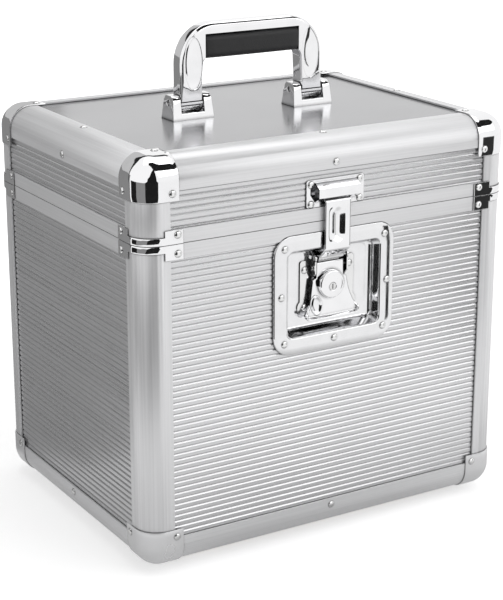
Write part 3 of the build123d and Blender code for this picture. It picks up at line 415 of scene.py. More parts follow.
def arc_through(a, b, c, steps):
    """Points of the arc from a over b to c, without c."""
    (ax, ay), (bx, by), (cx, cy) = a, b, c
    aa, bb, cc = ax**2 + ay**2, bx**2 + by**2, cx**2 + cy**2
    d = 2 * (ax * (by - cy) + bx * (cy - ay) + cx * (ay - by))
    ox = (aa * (by - cy) + bb * (cy - ay) + cc * (ay - by)) / d
    oy = (aa * (cx - bx) + bb * (ax - cx) + cc * (bx - ax)) / d
    radius = math.hypot(ax - ox, ay - oy)
    first, middle, last = (math.atan2(y - oy, x - ox) for x, y in (a, b, c))
    sweep = (last - first) % math.tau
    if (middle - first) % math.tau > sweep:
        sweep -= math.tau
    turns = [first + sweep * k / steps for k in range(steps)]
    return [(ox + radius * math.cos(t), oy + radius * math.sin(t)) for t in turns]


def inset_outline(outline, amounts):
    """Outline moved inwards, by one amount or by an amount at each point; it runs anticlockwise."""
    moved = []
    count = len(outline)
    if not hasattr(amounts, "__len__"):
        amounts = [amounts] * count
    for k, (x, y) in enumerate(outline):
        px, py = outline[k - 1]
        nx, ny = outline[(k + 1) % count]
        d1 = Vector((x - px, y - py)).normalized()
        d2 = Vector((nx - x, ny - y)).normalized()
        across = Vector((-d1.y, d1.x))
        inward = across + Vector((-d2.y, d2.x))
        inward = inward.normalized() if inward.length > 1e-6 else across
        shift = inward * (amounts[k] / max(0.5, inward.dot(across)))
        moved.append((x + shift.x, y + shift.y))
    return moved


def loft(rings, close_start=True, close_end=True):
    """Skin over rings of equal length; returns points and faces."""
    count = len(rings[0])
    points = [p for ring in rings for p in ring]
    faces = []
    for low in range(0, len(points) - count, count):
        for k in range(count):
            j = (k + 1) % count
            faces.append((low + k, low + j, low + count + j, low + count + k))
    if close_start:
        faces.append(tuple(range(count)))
    if close_end:
        faces.append(tuple(range(len(points) - count, len(points))))
    return points, faces


def add_part(points, faces, more_points, more_faces):
    """Adds one part's points and faces to those of a piece."""
    shift = len(points)
    points += more_points
    faces += [tuple(v + shift for v in face) for face in more_faces]


def verts(bm, points):
    """Vertices at points given in millimetres."""
    return [bm.verts.new(Vector(point) * MM) for point in points]


def join_rings(bm, rings):
    """Bands of faces from each closed ring of vertices to the next."""
    for low, high in zip(rings, rings[1:]):
        for k in range(len(low)):
            j = (k + 1) % len(low)
            bm.faces.new((low[k], low[j], high[j], high[k]))


def join_rows(bm, rows):
    """Faces from each open row of vertices to the next."""
    for low, high in zip(rows, rows[1:]):
        for k in range(len(low) - 1):
            bm.faces.new((low[k], low[k + 1], high[k + 1], high[k]))


def prism(bm, near, far):
    """Closed block between two outlines given in millimetres."""
    ends = [verts(bm, near), verts(bm, far)]
    bm.faces.new(ends[0])
    bm.faces.new(ends[1])
    join_rings(bm, ends)


def fill_between(bm, outer, inner):
    """Flat fill between an outer loop of vertices and inner loops."""
    edges = []
    for ring in [outer, *inner]:
        for k, vert in enumerate(ring):
            other = ring[(k + 1) % len(ring)]
            edges.append(bm.edges.get((vert, other)) or bm.edges.new((vert, other)))
    bmesh.ops.triangle_fill(bm, use_beauty=True, use_dissolve=False, edges=edges)


def islands(name):
    """The separate lumps of a carried-over piece, each as an array of points in metres."""
    bm = bmesh.new()
    bm.from_mesh(nodes[name].data)
    bmesh.ops.remove_doubles(bm, verts=bm.verts, dist=1e-6)
    left, found = set(bm.verts), []
    while left:
        wave, lump = [left.pop()], []
        while wave:
            vert = wave.pop()
            lump.append(tuple(vert.co))
            for edge in vert.link_edges:
                other = edge.other_vert(vert)
                if other in left:
                    left.remove(other)
                    wave.append(other)
        found.append(np.array(lump))
    bm.free()
    return sorted(found, key=lambda lump: tuple(lump.mean(0).round(4)))


# ---------------------------------------------------------------- rivets
RIVET_PROFILE = ((3.05, 0.0), (3.05, 0.28), (2.86, 0.5), (2.4, 0.86), (1.75, 1.13), (0.95, 1.29), (0.3, 1.34))


def rivet_heads(name, cad_name, body):
    """Domed rivet heads on the seats of the solid ones; the profile holds each ring's radius and rise."""
    points, faces = [], []
    for lump in islands(cad_name):
        axis = int(np.argmin(lump.max(0) - lump.min(0)))
        a, b = (k for k in range(3) if k != axis)
        middle = (lump.max(0) + lump.min(0)) / 2
        reach = np.hypot(lump[:, a] - middle[a], lump[:, b] - middle[b])
        low, high = lump[:, axis].min(), lump[:, axis].max()
        wide_low = reach[lump[:, axis] < low + 1e-5].max() > reach[lump[:, axis] > high - 1e-5].max()
        seat, way = (low, 1.0) if wide_low else (high, -1.0)
        rings = []
        for radius, rise in RIVET_PROFILE:
            ring = []
            for across, along in circle(18, radius):
                place = [0.0, 0.0, 0.0]
                place[axis] = seat / MM + way * rise
                place[a] = middle[a] / MM + across
                place[b] = middle[b] / MM + along
                ring.append(place)
            rings.append(ring)
        add_part(points, faces, *loft(rings))
    return new_piece(name, points, faces, rivet_steel, body, (cad_name,), 50.0)


# ---------------------------------------------------------------- pressed ball corners
BALL_RADIUS = 19.0
CORNER_REACH = 1.1
CORNER_SHEET = 1.0
CORNER_LEG = 33.5


def corner_shell(sx, sy, z, up):
    """One ball corner: rounded cube corner of sheet, with its outer face at height z."""
    outer = BALL_RADIUS + CORNER_REACH
    span = CORNER_LEG + CORNER_REACH
    curve = [outer * (1 - math.tan(math.radians(45 * (1 - k / 9)))) for k in range(9)]
    flat = [outer + (span - 0.35 - outer) * k / 3 for k in range(4)] + [span - 0.1, span]
    marks = curve + flat
    last = len(marks) - 1
    plain = [0.0] * (last + 1)
    eased = plain[:-2] + [0.1, 0.32]
    points, faces, known = [], [], {}

    def vert(a, b, face, depth):
        given = [a, b]
        given.insert(face, 0.0)
        core = Vector([max(v, outer) for v in given])
        x, y, h = core + (Vector(given) - core).normalized() * (outer - depth)
        key = (round(x, 4), round(y, 4), round(h, 4))
        if key not in known:
            known[key] = len(points)
            place = (sx * (HALF_WIDTH + CORNER_REACH - x), sy * (HALF_DEPTH + CORNER_REACH - y))
            points.append((*place, z - h if up else z + h))
        return known[key]

    for face in range(3):
        skins = []
        for depth, ease in ((0.0, eased), (CORNER_SHEET, plain)):
            rows = []
            for i, a in enumerate(marks):
                rows.append([vert(a, b, face, depth + ease[max(i, j)]) for j, b in enumerate(marks)])
            skins.append(rows)
            for i in range(last):
                for j in range(last):
                    quad = dict.fromkeys((rows[i][j], rows[i + 1][j], rows[i + 1][j + 1], rows[i][j + 1]))
                    if len(quad) > 2:
                        faces.append(tuple(quad))
        outside, inside = skins
        for k in range(last):
            faces.append((outside[last][k], outside[last][k + 1], inside[last][k + 1], inside[last][k]))
            faces.append((outside[k][last], outside[k + 1][last], inside[k + 1][last], inside[k][last]))
    return points, faces


def ball_corners(name, cad_name, z, up, finish, body, slot):
    """The four ball corners at one end of the case."""
    points, faces = [], []
    for sx in (-1, 1):
        for sy in (-1, 1):
            add_part(points, faces, *corner_shell(sx, sy, z, up))
    return new_piece(name, points, faces, finish, body, (cad_name,), 40.0)


# ---------------------------------------------------------------- latch
DISH_Z = -59.2
LEVER_FACE = -6.8
SCOOP_X, SCOOP_Z, SCOOP_LEAN = -13.2, -73.6, math.radians(12)
LOCK_Z = -56.2
PLUG_Z = -58.1
STRAP_FACE = 3.5
HASP_PIN_U, HASP_PIN_Z = -7.0, -33.0


def pressed_dish():
    """Recessed tray: rounded flange, soft lip, drafted walls and a flat floor, as one pressing.

    Each level is half the width, half the height, the corner radius and u.
    """
    front = (
        (58.75, 50.6, 16.3, -1.9),
        (58.75, 50.6, 16.3, -0.2),
        (58.55, 50.4, 16.1, 0.3),
        (58.1, 49.95, 15.7, 0.6),
        (47.0, 38.6, 7.2, 0.6),
        (46.0, 37.6, 6.3, 0.42),
        (45.25, 36.85, 5.6, -0.1),
        (44.92, 36.45, 5.3, -0.7),
        (44.85, 36.3, 5.2, -1.2),
        (44.8, 36.14, 5.17, -1.7),
        (44.29, 34.42, 4.82, -7.1),
        (44.24, 34.26, 4.8, -7.6),
        (43.8, 33.6, 4.6, -9.8),
        (42.9, 33.1, 4.6, -11.3),
        (41.4, 32.2, 4.4, -12.3),
        (39.4, 30.2, 3.8, -12.7),
    )
    behind = (
        (38.6, 30.2, 3.8, -14.1),
        (42.6, 33.6, 5.6, -13.4),
        (44.6, 35.2, 6.0, -11.0),
        (46.2, 37.8, 6.6, -2.6),
        (47.6, 39.2, 7.8, -1.9),
    )
    rings = []
    for half_w, half_h, radius, u in front + behind:
        rings.append([on_front(x, DISH_Z + z, u) for x, z in rounded_ring(half_w, half_h, radius)])
    points, faces = loft(rings[: len(front)], close_start=False)
    add_part(points, faces, *loft(rings[len(front) :], close_end=False))
    count = len(rings[0])
    last = len(points) - count
    for k in range(count):
        j = (k + 1) % count
        faces.append((last + k, last + j, j, k))
    name, replaced = "latch_dish_pressing", ("latch_dish",)
    return new_piece(name, points, faces, dish_chrome, "case_body", replaced, 40.0)


def bell_outline():
    """Lever's outline, anticlockwise from the front: narrow neck, bell below, drawn in on its left."""
    right = [(13.2, -37.6), (13.2, -50.4)]
    right += arc_through((16.8, -52.0), (20.4, -67.0), (28.5, -80.5), 16)
    right += arc_through((28.5, -80.5), (27.9, -83.8), (25.5, -85.6), 6)
    foot = arc_through((25.5, -85.6), (0, -86.0), (-21.7, -85.6), 14)
    left = [(-x * (1 - 0.15 * smooth_step(-z, 56.0, 76.0)), z) for x, z in reversed(right)]
    return (right + foot + left)[::-1]


def bell_lever():
    """Lever: neck with two ears, a bell-shaped plate with a rolled lower rim and a pressed oval scoop."""
    outline = bell_outline()
    rise = [smooth_step(-z, 76.0, 81.0) for x, z in outline]
    bm = bmesh.new()
    rings = []
    # inset from the outline, depth behind the face, lift at the lower rim
    for inset, depth, lift in (
        (0.3, 1.6, 0.0),
        (0.0, 1.3, 0.0),
        (0.0, 0.3, 2.5),
        (0.35, 0.05, 2.9),
        (0.8, 0.0, 3.0),
        (1.2, 0.0, 2.9),
        (1.55, 0.0, 2.5),
        (1.9, 0.0, 0.9),
        (2.4, 0.0, 0.25),
        (3.0, 0.0, 0.0),
        (3.3, 0.0, 0.0),
    ):
        ring = zip(inset_outline(outline, inset), rise)
        rings.append(verts(bm, [on_front(x, z, LEVER_FACE - depth + lift * share) for (x, z), share in ring]))
    join_rings(bm, rings)
    bm.faces.new(rings[0])
    scoop = []
    lean_x, lean_z = math.cos(SCOOP_LEAN), math.sin(SCOOP_LEAN)
    for scale, depth in (
        (1.36, 0.0),
        (1.31, 0.0),
        (1.26, -0.4),
        (1.19, -0.5),
        (1.11, -0.35),
        (0.98, 0.4),
        (0.78, 1.1),
        (0.4, 1.35),
    ):
        ring = []
        for across, up in circle(24, 4.4 * scale, 6.9 * scale):
            x, z = across * lean_x - up * lean_z, across * lean_z + up * lean_x
            ring.append(on_front(SCOOP_X + x, SCOOP_Z + z, LEVER_FACE - depth))
        scoop.append(verts(bm, ring))
    join_rings(bm, scoop)
    bm.faces.new(scoop[-1])
    fill_between(bm, rings[-1], [scoop[0]])
    ear = ((-7.2, -37.7), (-10.0, -37.7), (-11.2, -39.9), (-11.2, -43.9), (-8.0, -47.0), (-7.2, -47.0))
    for side in (-1, 1):
        prism(bm, *([on_front(side * x, z, u) for u, z in ear] for x in (11.9, 13.2)))
    return built_piece(bm, "latch_lever_plate", bright_chrome, "lever", ("latch_lever",), 38.0)


def turned_barrel():
    """Lock: turned head with a bevelled rim and a faint spun ring, body behind, hole for the plug."""
    profile = (
        (7.4, -10.2),
        (7.4, -6.8),
        (12.0, -6.8),
        (12.0, -3.0),
        (11.75, -2.55),
        (11.1, -2.1),
        (10.4, -2.0),
        (9.6, -2.08),
        (9.3, -2.0),
        (4.2, -2.0),
        (3.6, -2.15),
        (3.28, -2.5),
        (3.28, -10.2),
    )
    bm = bmesh.new()
    rings = []
    for radius, u in profile:
        middle = PLUG_Z if radius < 5.0 else LOCK_Z
        rings.append(verts(bm, [on_front(x, middle + z, u) for x, z in circle(48, radius)]))
    join_rings(bm, [*rings, rings[0]])
    return built_piece(bm, "lock_head", bright_chrome, "lever", ("lock_barrel",), 40.0)


def strap_hasp():
    """Hasp: strap bent from sheet, curled round its pin, pressed hollow down its face, lip on top."""
    path = [(-1.4, 17.3), (1.6, 17.3), (2.7, 17.1), (3.3, 16.5)]
    path += [(STRAP_FACE, 15.5 - 2.0 * k) for k in range(20)]
    path += [(3.45, -23.3), (3.1, -24.2), (2.4, -25.0), (-4.9, -31.3)]
    bend_end = len(path)
    for turn in range(-15, -340, -25):
        across, up = math.cos(math.radians(turn)), math.sin(math.radians(turn))
        path.append((HASP_PIN_U + 1.85 * across, HASP_PIN_Z + 1.85 * up))
    edge = (12.3, 12.1, 11.6, 10.6, 9.2)
    columns = [-x for x in edge] + list(range(-8, 9)) + list(reversed(edge))
    eased = [0.55, 0.2] + [0.0] * (len(columns) - 4) + [0.2, 0.55]
    bm = bmesh.new()
    outer, inner = [], []
    for row, (u, z) in enumerate(path):
        before, after = path[max(0, row - 1)], path[min(len(path) - 1, row + 1)]
        along = Vector((after[0] - before[0], after[1] - before[1])).normalized()
        half = 0.9 if row < bend_end else 0.55
        ends = smooth_step(z, -20.0, -12.5) * (1 - smooth_step(z, 4.5, 13.5))
        near, far = [], []
        for x, ease in zip(columns, eased):
            hollow = 3.6 * ends * max(0.0, 1 - (math.hypot(x, 1.2) - 1.2) / 7.6)
            top, low = half - ease - hollow, ease - half - 0.55 * hollow
            near.append(on_front(x, z + along.x * top, u - along.y * top))
            far.append(on_front(x, z + along.x * low, u - along.y * low))
        outer.append(verts(bm, near))
        inner.append(verts(bm, far))
    join_rows(bm, outer)
    join_rows(bm, inner)
    for end in (0, -1):
        join_rows(bm, [[row[end] for row in outer], [row[end] for row in inner]])
        join_rows(bm, [outer[end], inner[end]])
    tail = ((-8.8, -32.2), (-8.8, -38.4), (-10.1, -38.4), (-10.1, -32.0), (-8.4, -32.0))
    prism(bm, *([on_front(x, z, u) for u, z in tail] for x in (-10.0, 10.0)))
    return built_piece(bm, "hasp_strap", bright_chrome, "hasp", ("hasp",), 45.0)


# ---------------------------------------------------------------- handle
PIVOT_Z = 359.7
BAIL_TOP = 425.5
BAIL_CORNER = 34.0
GRIP_TOP = 415.3
GRIP_END = 45.75
HALF_ARM = 7.8
ARM_X = 60.0
BRACKET_Z = 345.5


def bail_outline():
    """Bail seen from the front, anticlockwise, with the inset of the bevel at each point."""
    outer, inner, low = 70.4, 49.6, 394.9
    shoulder = (outer, BAIL_TOP - BAIL_CORNER - 14)
    marks = []

    def put(points, bevel):
        marks.extend((x, z, bevel) for x, z in points)

    put([(-outer, PIVOT_Z), (-inner, PIVOT_Z)], 1.0)
    put(arc_through((-inner, PIVOT_Z + 8), (0.5 - inner, 378), (-48.6, 388.5), 8), 0.9)
    put(arc_through((-48.6, 388.5), (-47.6, 392.6), (-GRIP_END, low), 5), 0.9)
    put([(-GRIP_END, low), (-GRIP_END, GRIP_TOP), (GRIP_END, GRIP_TOP), (GRIP_END, low)], 0.7)
    put(arc_through((GRIP_END, low), (47.6, 392.6), (48.6, 388.5), 5)[1:], 0.9)
    put(arc_through((48.6, 388.5), (inner - 0.5, 378), (inner, PIVOT_Z + 8), 8), 0.9)
    put([(inner, PIVOT_Z), (outer, PIVOT_Z)], 1.0)
    put([shoulder], 2.8)
    for way, start in ((1, 0), (-1, 90)):
        for k in range(15):
            turn = math.radians(start + 90 * k / 14)
            x = way * (outer - BAIL_CORNER) + BAIL_CORNER * math.cos(turn)
            put([(x, BAIL_TOP - BAIL_CORNER + BAIL_CORNER * math.sin(turn))], 2.8)
    put([(-shoulder[0], shoulder[1])], 2.8)
    return marks


def cast_bail():
    """Polished casting: band over the grip, broad shoulders, and arms with a sunk oval on each face."""
    marks = bail_outline()
    outline = [(x, z) for x, z, bevel in marks]
    section = ((1.0, HALF_ARM), (0.9, 7.75), (0.12, 6.05), (0.03, 5.5), (0.0, 4.9))
    levels = [(share, -y) for share, y in section] + list(reversed(section))
    bm = bmesh.new()
    rings = []
    for share, y in levels:
        ring = inset_outline(outline, [share * bevel for x, z, bevel in marks])
        rings.append(verts(bm, [(x, y, z) for x, z in ring]))
    join_rings(bm, rings)
    for ring, way in ((rings[0], -1), (rings[-1], 1)):
        ovals = []
        for middle in (-58.2, 58.2):
            loops = []
            for scale, depth in ((1.0, HALF_ARM), (0.985, 7.35), (0.955, 7.2), (0.5, 7.12)):
                oval = circle(36, 8.9 * scale, 22.5 * scale)
                loops.append(verts(bm, [(middle + x, way * depth, 392.0 + z) for x, z in oval]))
            join_rings(bm, loops)
            bm.faces.new(loops[-1])
            ovals.append(loops[0])
        fill_between(bm, ring, ovals)
    lower_half = circle(64, HALF_ARM)[32:] + [(HALF_ARM, 0.0)]
    for middle in (-ARM_X, ARM_X):
        prism(bm, *([(middle + x, y, PIVOT_Z + z) for y, z in lower_half] for x in (-10.4, 10.4)))
    return built_piece(bm, "handle_casting", bright_chrome, "handle", ("handle_bail",), 32.0)


def cast_brackets():
    """Saddles of the handle: two tapered ears with the pin's hole, joined by sills in front and behind."""

    def half_depth(z):
        return 10.8 - 2.6 * z / 17.0 if z < 17.0 else 8.2 - 0.9 * (z - 17.0)

    def ear_ring(middle, way, outer, shift, points):
        ring = []
        for y, z in points:
            z = max(0.0, z)
            wall = 19.75 - 1.5 * z / 20.6 if outer else 11.1
            ring.append((middle + way * (wall + shift), y, BRACKET_Z + z))
        return verts(bm, ring)

    bm = bmesh.new()
    # y and height of each ear's outline, then of the sills
    side = [(-half_depth(z), z) for z in (0.0, 5.6, 11.0, 16.2, 17.6, 18.8, 19.8)]
    side += [(-4.4, 20.4), (-3.4, 20.6)]
    outline = (side + [(-y, z) for y, z in reversed(side)])[::-1]
    # on the outer face or not, inset or radius, shift along the case
    eases = ((0, 0.45, 0.0), (0, 0.12, 0.12), (0, 0.0, 0.5), (1, 0.0, -0.5), (1, 0.14, -0.14), (1, 0.5, 0.0))
    hole = ((0, 2.85, 0.0), (0, 2.6, 0.3), (1, 2.6, -0.3), (1, 2.85, 0.0))
    sill = [(-10.68, 0.0), (-9.95, 4.7), (-9.75, 5.3), (-9.3, 5.6)]
    sill += [(-8.3, 5.6), (-7.9, 5.4), (-7.8, 5.0), (-7.8, 2.4)]
    sill += [(-y, z) for y, z in reversed(sill)]
    for middle in (-ARM_X, ARM_X):
        for way in (-1, 1):
            rings = []
            for outer, inset, shift in eases:
                rings.append(ear_ring(middle, way, outer, shift, inset_outline(outline, inset)))
            join_rings(bm, rings)
            bore = []
            for outer, radius, shift in hole:
                points = [(y, PIVOT_Z - BRACKET_Z + z) for y, z in circle(20, radius)]
                bore.append(ear_ring(middle, way, outer, shift, points))
            join_rings(bm, bore)
            fill_between(bm, rings[0], [bore[0]])
            fill_between(bm, rings[-1], [bore[-1]])
        prism(bm, *([(middle + x, y, BRACKET_Z + z) for y, z in sill] for x in (-12.4, 12.4)))
    return built_piece(bm, "handle_saddles", bright_chrome, "lid", ("handle_brackets",), 32.0)


def moulded_grip():
    """Grip: soft moulding, crowned a little along its length, with eased ends."""
    half_w, half_h, radius = 8.5, 10.2, 4.8
    half = [(-GRIP_END, 1.3), (-45.5, 0.5), (-44.8, 0.15), (-36.0, 0.05), (-20.0, 0.0)]
    rings = []
    for x, ease in [*half, (0.0, 0.0), *((-x, ease) for x, ease in reversed(half))]:
        ring = rounded_ring(half_w - ease, half_h - ease, radius - ease / 2, 6, 0.3)
        rings.append([(x, y, GRIP_TOP - half_h + z) for y, z in ring])
    points, faces = loft(rings)
    name, replaced = "handle_grip_moulding", ("handle_grip",)
    return new_piece(name, points, faces, black_grip, "handle", replaced, 60.0)


# ---------------------------------------------------------------- lining
def felt_lining(name, cad_name, body):
    """Felt over the lining boards, its edges turned over softly."""
    mesh = nodes[cad_name].data.copy()
    mesh.materials.clear()
    piece = dress(mesh, name, lining_felt, body, (cad_name,), 40.0)
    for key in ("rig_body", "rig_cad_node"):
        if key in mesh:
            del mesh[key]
    turned = piece.modifiers.new("turned_edges", "BEVEL")
    turned.width = 0.8 * MM
    turned.segments = 3
    turned.limit_method = "ANGLE"
    turned.angle_limit = math.radians(40)
    turned.harden_normals = True
    return piece


# ---------------------------------------------------------------- finishes of the carried-over pieces
def finish_node(name, finish, eased=0.0):
    """Gives a carried-over piece its finish and rounds its sharp edges, as sheet and castings have."""
    piece = nodes[name]
    piece.data.materials.clear()
    piece.data.materials.append(finish)
    if not eased:
        return
    weld = piece.modifiers.new("joined", "WELD")
    weld.merge_threshold = 0.00001
    bevel = piece.modifiers.new("eased_edges", "BEVEL")
    bevel.width = eased * MM
    bevel.segments = 2
    bevel.limit_method = "ANGLE"
    bevel.angle_limit = math.radians(35.0)
    bevel.harden_normals = True
    bevel.use_clamp_overlap = True


for side in SIDES:
    along_x = side in ("front", "back")
    finish_node(f"body_{side}_panel", plywood)
    finish_node(f"lid_{side}_panel", plywood)
    finish_node(f"body_{side}_skin", ribbed_x if along_x else ribbed_y)
    for name in (f"bottom_{side}_edge", f"lid_{side}_edge", f"body_{side}_rim", f"lid_{side}_rim"):
        finish_node(name, extrusion_x if along_x else extrusion_y, 0.25)
for corner in ("front_left", "front_right", "back_left", "back_right"):
    finish_node(f"body_{corner}_post", extrusion_z, 0.25)
finish_node("lid_posts", extrusion_z, 0.25)
finish_node("lid_skins", ribbed_x)
lid_skin_mesh = nodes["lid_skins"].data
lid_skin_mesh.materials.append(ribbed_y)
side_skin_x = (HALF_WIDTH - 8.0) * MM
for face in lid_skin_mesh.polygons:
    face.material_index = 1 if abs(face.center.x) > side_skin_x else 0
finish_node("bottom_panel", plywood)
finish_node("top_panel", brushed_top)
for name in ("body_rim_corners", "lid_rim_corners", "catch"):
    finish_node(name, bright_chrome, 0.3)
for name in ("body_hinge_leaves", "lid_hinge_leaves", "hinge_pins", "latch_base", "latch_pins", "handle_pins"):
    finish_node(name, rivet_steel, 0.2)
finish_node("lock_plug", plug_nickel)
finish_node("feet", foot_rubber)

low_face, high_face = CASE_BOTTOM - CORNER_REACH, CASE_TOP + CORNER_REACH
satin, chrome = (corner_satin, "case_body", "satin_aluminium"), (bright_chrome, "lid", "chrome")
ball_corners("bottom_ball_corners", "bottom_corners", low_face, False, *satin)
ball_corners("lid_ball_corners", "lid_corners", high_face, True, *chrome)
rivet_heads("body_rivet_heads", "body_rivets", "case_body")
rivet_heads("lid_rivet_heads", "lid_rivets", "lid")
pressed_dish()
bell_lever()
turned_barrel()
strap_hasp()
cast_bail()
cast_brackets()
moulded_grip()
felt_lining("body_felt", "body_lining", "case_body")
felt_lining("lid_felt", "lid_lining", "lid")


# ---------------------------------------------------------------- studio
def studio_floor():
    """Pale floor: white for the camera away from the case, with a soft shadow near it.

    Mirrors see a painted shade: for them the floor glows darker close to the case.
    """
    bpy.ops.mesh.primitive_plane_add(size=14.0, location=(0, 0, 0))
    floor = bpy.context.object
    floor.name = "studio_floor"
    finish, tree, shader = new_finish("pale_floor", roughness=0.8, specular_ior_level=0.1)
    shader.inputs["Base Color"].default_value = (0.86, 0.86, 0.86, 1.0)
    far = node(tree, "ShaderNodeVectorMath", ((0, own_place(tree)),), operation="LENGTH").outputs["Value"]
    path = node(tree, "ShaderNodeLightPath")
    plain = ranged(tree, far, 0.35, 1.1, 0.5, 1.0)
    # painted shade for mirrors: the floor's glow falls towards the case
    mirrored = ranged(tree, far, 0.17, 0.40, 0.36, 0.97)
    straight = math_node(tree, "SUBTRACT", 1.0, path.outputs["Is Diffuse Ray"])
    chosen = node(tree, "ShaderNodeMix", ((0, path.outputs["Is Glossy Ray"]), (2, plain), (3, mirrored)))
    glow = node(tree, "ShaderNodeEmission", (("Color", (1, 1, 1, 1)),))
    tree.links.new(math_node(tree, "MULTIPLY", straight, chosen.outputs[0]), glow.inputs["Strength"])
    both = node(tree, "ShaderNodeAddShader")
    tree.links.new(shader.outputs[0], both.inputs[0])
    tree.links.new(glow.outputs[0], both.inputs[1])
    pick = node(tree, "ShaderNodeMixShader", ((0, path.outputs["Is Glossy Ray"]),))
    tree.links.new(both.outputs[0], pick.inputs[1])
    tree.links.new(glow.outputs[0], pick.inputs[2])
    tree.links.new(pick.outputs[0], tree.nodes["Material Output"].inputs["Surface"])
    floor.data.materials.append(finish)


def studio_world():
    """White surroundings for the camera and for mirrors, and a softer fill for everything else."""
    world = bpy.data.worlds.new("studio")
    world.use_nodes = True
    tree = world.node_tree
    back = tree.nodes["Background"]
    path = node(tree, "ShaderNodeLightPath")
    seen = math_node(tree, "MAXIMUM", path.outputs["Is Camera Ray"], path.outputs["Is Glossy Ray"])
    seen = math_node(tree, "MAXIMUM", seen, path.outputs["Is Transmission Ray"])
    back.inputs["Color"].default_value = (1, 1, 1, 1)
    tree.links.new(ranged(tree, seen, 0.0, 1.0, 0.45, 1.0), back.inputs["Strength"])
    bpy.context.scene.world = world


def softbox(name, place, aim, width, height, power):
    """Rectangular lamp at a place, turned to a point; sizes in metres, power in watts."""
    lamp = bpy.data.lights.new(name, "AREA")
    lamp.shape = "RECTANGLE"
    lamp.size = width
    lamp.size_y = height
    lamp.energy = power
    holder = bpy.data.objects.new(name, lamp)
    bpy.context.scene.collection.objects.link(holder)
    holder.location = place
    holder.rotation_euler = (Vector(aim) - Vector(place)).to_track_quat("-Z", "Y").to_euler()


def card(name, shade, columns):
    """Card that glows with its shade and is seen only by mirrors: a painted reflection.

    Each column is its angle from the front to the right in degrees, and the radius and height in metres of
    its lower and of its upper end.
    """
    points, faces = [], []
    for index, (angle, low_radius, low, high_radius, high) in enumerate(columns):
        turn = math.radians(angle)
        x, y = math.sin(turn), -math.cos(turn)
        points += [(x * low_radius, y * low_radius, low), (x * high_radius, y * high_radius, high)]
        if index:
            last = 2 * index
            faces.append((last - 2, last, last + 1, last - 1))
    mesh = bpy.data.meshes.new(name)
    mesh.from_pydata(points, [], faces)
    piece = bpy.data.objects.new(name, mesh)
    bpy.context.scene.collection.objects.link(piece)
    finish = bpy.data.materials.new(name)
    finish.use_nodes = True
    tree = finish.node_tree
    tree.nodes.remove(tree.nodes["Principled BSDF"])
    # the glow is the tone of the painted reflection
    glow = node(tree, "ShaderNodeEmission", (("Color", (shade, shade, shade, 1.0)), ("Strength", 1.0)))
    tree.links.new(glow.outputs[0], tree.nodes["Material Output"].inputs["Surface"])
    mesh.materials.append(finish)
    piece.visible_camera = False
    piece.visible_diffuse = False
    piece.visible_shadow = False


def upright_card(name, shade, heights, radius=0.62):
    """Card standing on a circle round the case: heights are (angle, low, high)."""
    columns = []
    for (a, a_low, a_high), (b, b_low, b_high) in zip(heights, heights[1:]):
        steps = max(1, math.ceil(abs(b - a) / 4))
        for k in range(steps):
            t = k / steps
            low, high = a_low + (b_low - a_low) * t, a_high + (b_high - a_high) * t
            columns.append((a + (b - a) * t, radius, low, radius, high))
    angle, low, high = heights[-1]
    card(name, shade, [*columns, (angle, radius, low, radius, high)])


studio_floor()
studio_world()
softbox("key_front_right", (1.3, -1.9, 2.3), (0, 0, 0.2), 2.7, 2.7, 25)
softbox("top_light", (0.2, 0.2, 2.6), (0, 0, 0.3), 2.0, 2.0, 14)
upright_card(
    "dark_front",
    0.012,
    (
        (-51.0, 0.0, 0.30),
        (-45.0, 0.0, 0.34),
        (-43.0, 0.0, 0.44),
        (-38.0, 0.0, 0.50),
        (-35.0, 0.0, 0.60),
        (-31.0, 0.0, 0.72),
        (-27.0, 0.0, 0.84),
        (-22.0, 0.0, 0.92),
        (-19.0, 0.0, 0.97),
        (-17.5, 0.0, 0.97),
        (-14.5, 0.0, 0.34),
        (-9.5, 0.0, 0.30),
    ),
)
upright_card("grey_front_left", 0.25, ((-80.0, 0.0, 0.30), (-51.0, 0.0, 0.30)))
upright_card("dark_left", 0.012, ((-103.0, 0.0, 0.30), (-80.0, 0.0, 0.30)))
upright_card("grey_back_left", 0.24, ((-170.0, 0.0, 0.42), (-110.0, 0.0, 0.42)), 0.63)
upright_card("pale_back_left", 0.55, ((-190.0, 0.42, 0.90), (-145.0, 0.42, 0.85), (-124.0, 0.42, 0.62)), 0.63)
# painted shade: mirrors see the floor left of the case darker
card("floor_left_painted_shade", 0.24, [(angle, 0.62, 0.003, 0.25, 0.003) for angle in range(-170, -108, 10)])
upright_card("dark_right", 0.03, ((38.5, 0.0, 0.3), (48.0, 0.0, 0.3)))
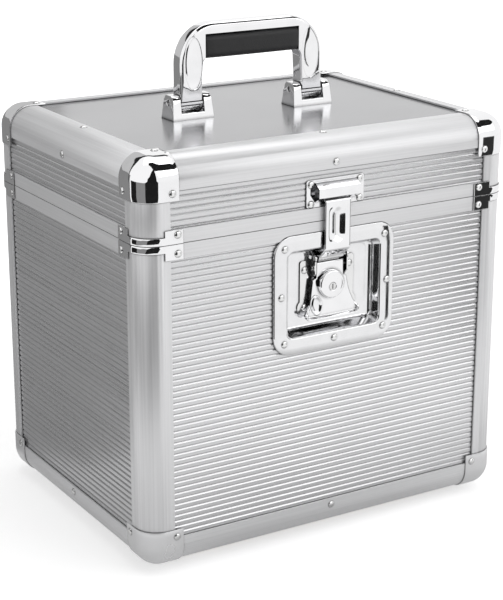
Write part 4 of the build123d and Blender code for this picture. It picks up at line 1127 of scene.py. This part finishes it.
upright_card(
    "dark_behind",
    0.02,
    (
        (-230.0, 1.08, 1.30),
        (-210.0, 1.01, 1.22),
        (-190.0, 0.89, 1.12),
        (-175.0, 0.78, 1.04),
        (-160.0, 0.75, 0.99),
        (-145.0, 0.70, 0.97),
        (-135.0, 0.64, 0.89),
        (-128.0, 0.54, 0.79),
        (-122.0, 0.40, 0.60),
        (-118.0, 0.28, 0.42),
        (-112.0, 0.17, 0.26),
    ),
    0.61,
)
canopy = (  # angle, radius of the inner and of the outer end, height of the outer end
    (-75, 0.28, 0.36, 2.1),
    (-55, 0.22, 0.60, 2.1),
    (-35, 0.20, 0.76, 2.1),
    (-22, 0.15, 0.98, 2.1),
    (-16, 0.15, 1.25, 2.1),
    (-11, 0.15, 1.75, 2.1),
    (0, 0.15, 1.90, 2.1),
    (10, 0.15, 1.93, 2.1),
    (20, 0.18, 1.95, 2.05),
    (30, 0.25, 1.98, 1.9),
    (38, 0.40, 2.0, 1.75),
    (43, 0.62, 2.0, 1.72),
    (52, 1.10, 2.0, 1.70),
    (58, 1.40, 2.0, 1.70),
    (68, 1.45, 2.0, 1.70),
    (78, 1.50, 2.0, 1.72),
)
CANOPY_TOP = 2.1
card("dark_canopy", 0.012, [(angle, outer, low, inner, CANOPY_TOP) for angle, inner, outer, low in canopy])


def photo_camera():
    """Camera at the photograph's angle: from the front left, a little above the lid."""
    data = bpy.data.cameras.new("photo_camera")
    data.sensor_width = 36.0
    data.lens = 102.0
    camera = bpy.data.objects.new("photo_camera", data)
    bpy.context.scene.collection.objects.link(camera)
    yaw, pitch = math.radians(31.09), math.radians(17.71)
    camera.location = (-0.7485, -1.2466, 0.6369)
    ahead = Vector((math.sin(yaw) * math.cos(pitch), math.cos(yaw) * math.cos(pitch), -math.sin(pitch)))
    camera.rotation_euler = ahead.to_track_quat("-Z", "Y").to_euler()
    data.clip_end = 50.0
    bpy.context.scene.camera = camera


photo_camera()
bpy.context.scene.view_settings.view_transform = "Standard"
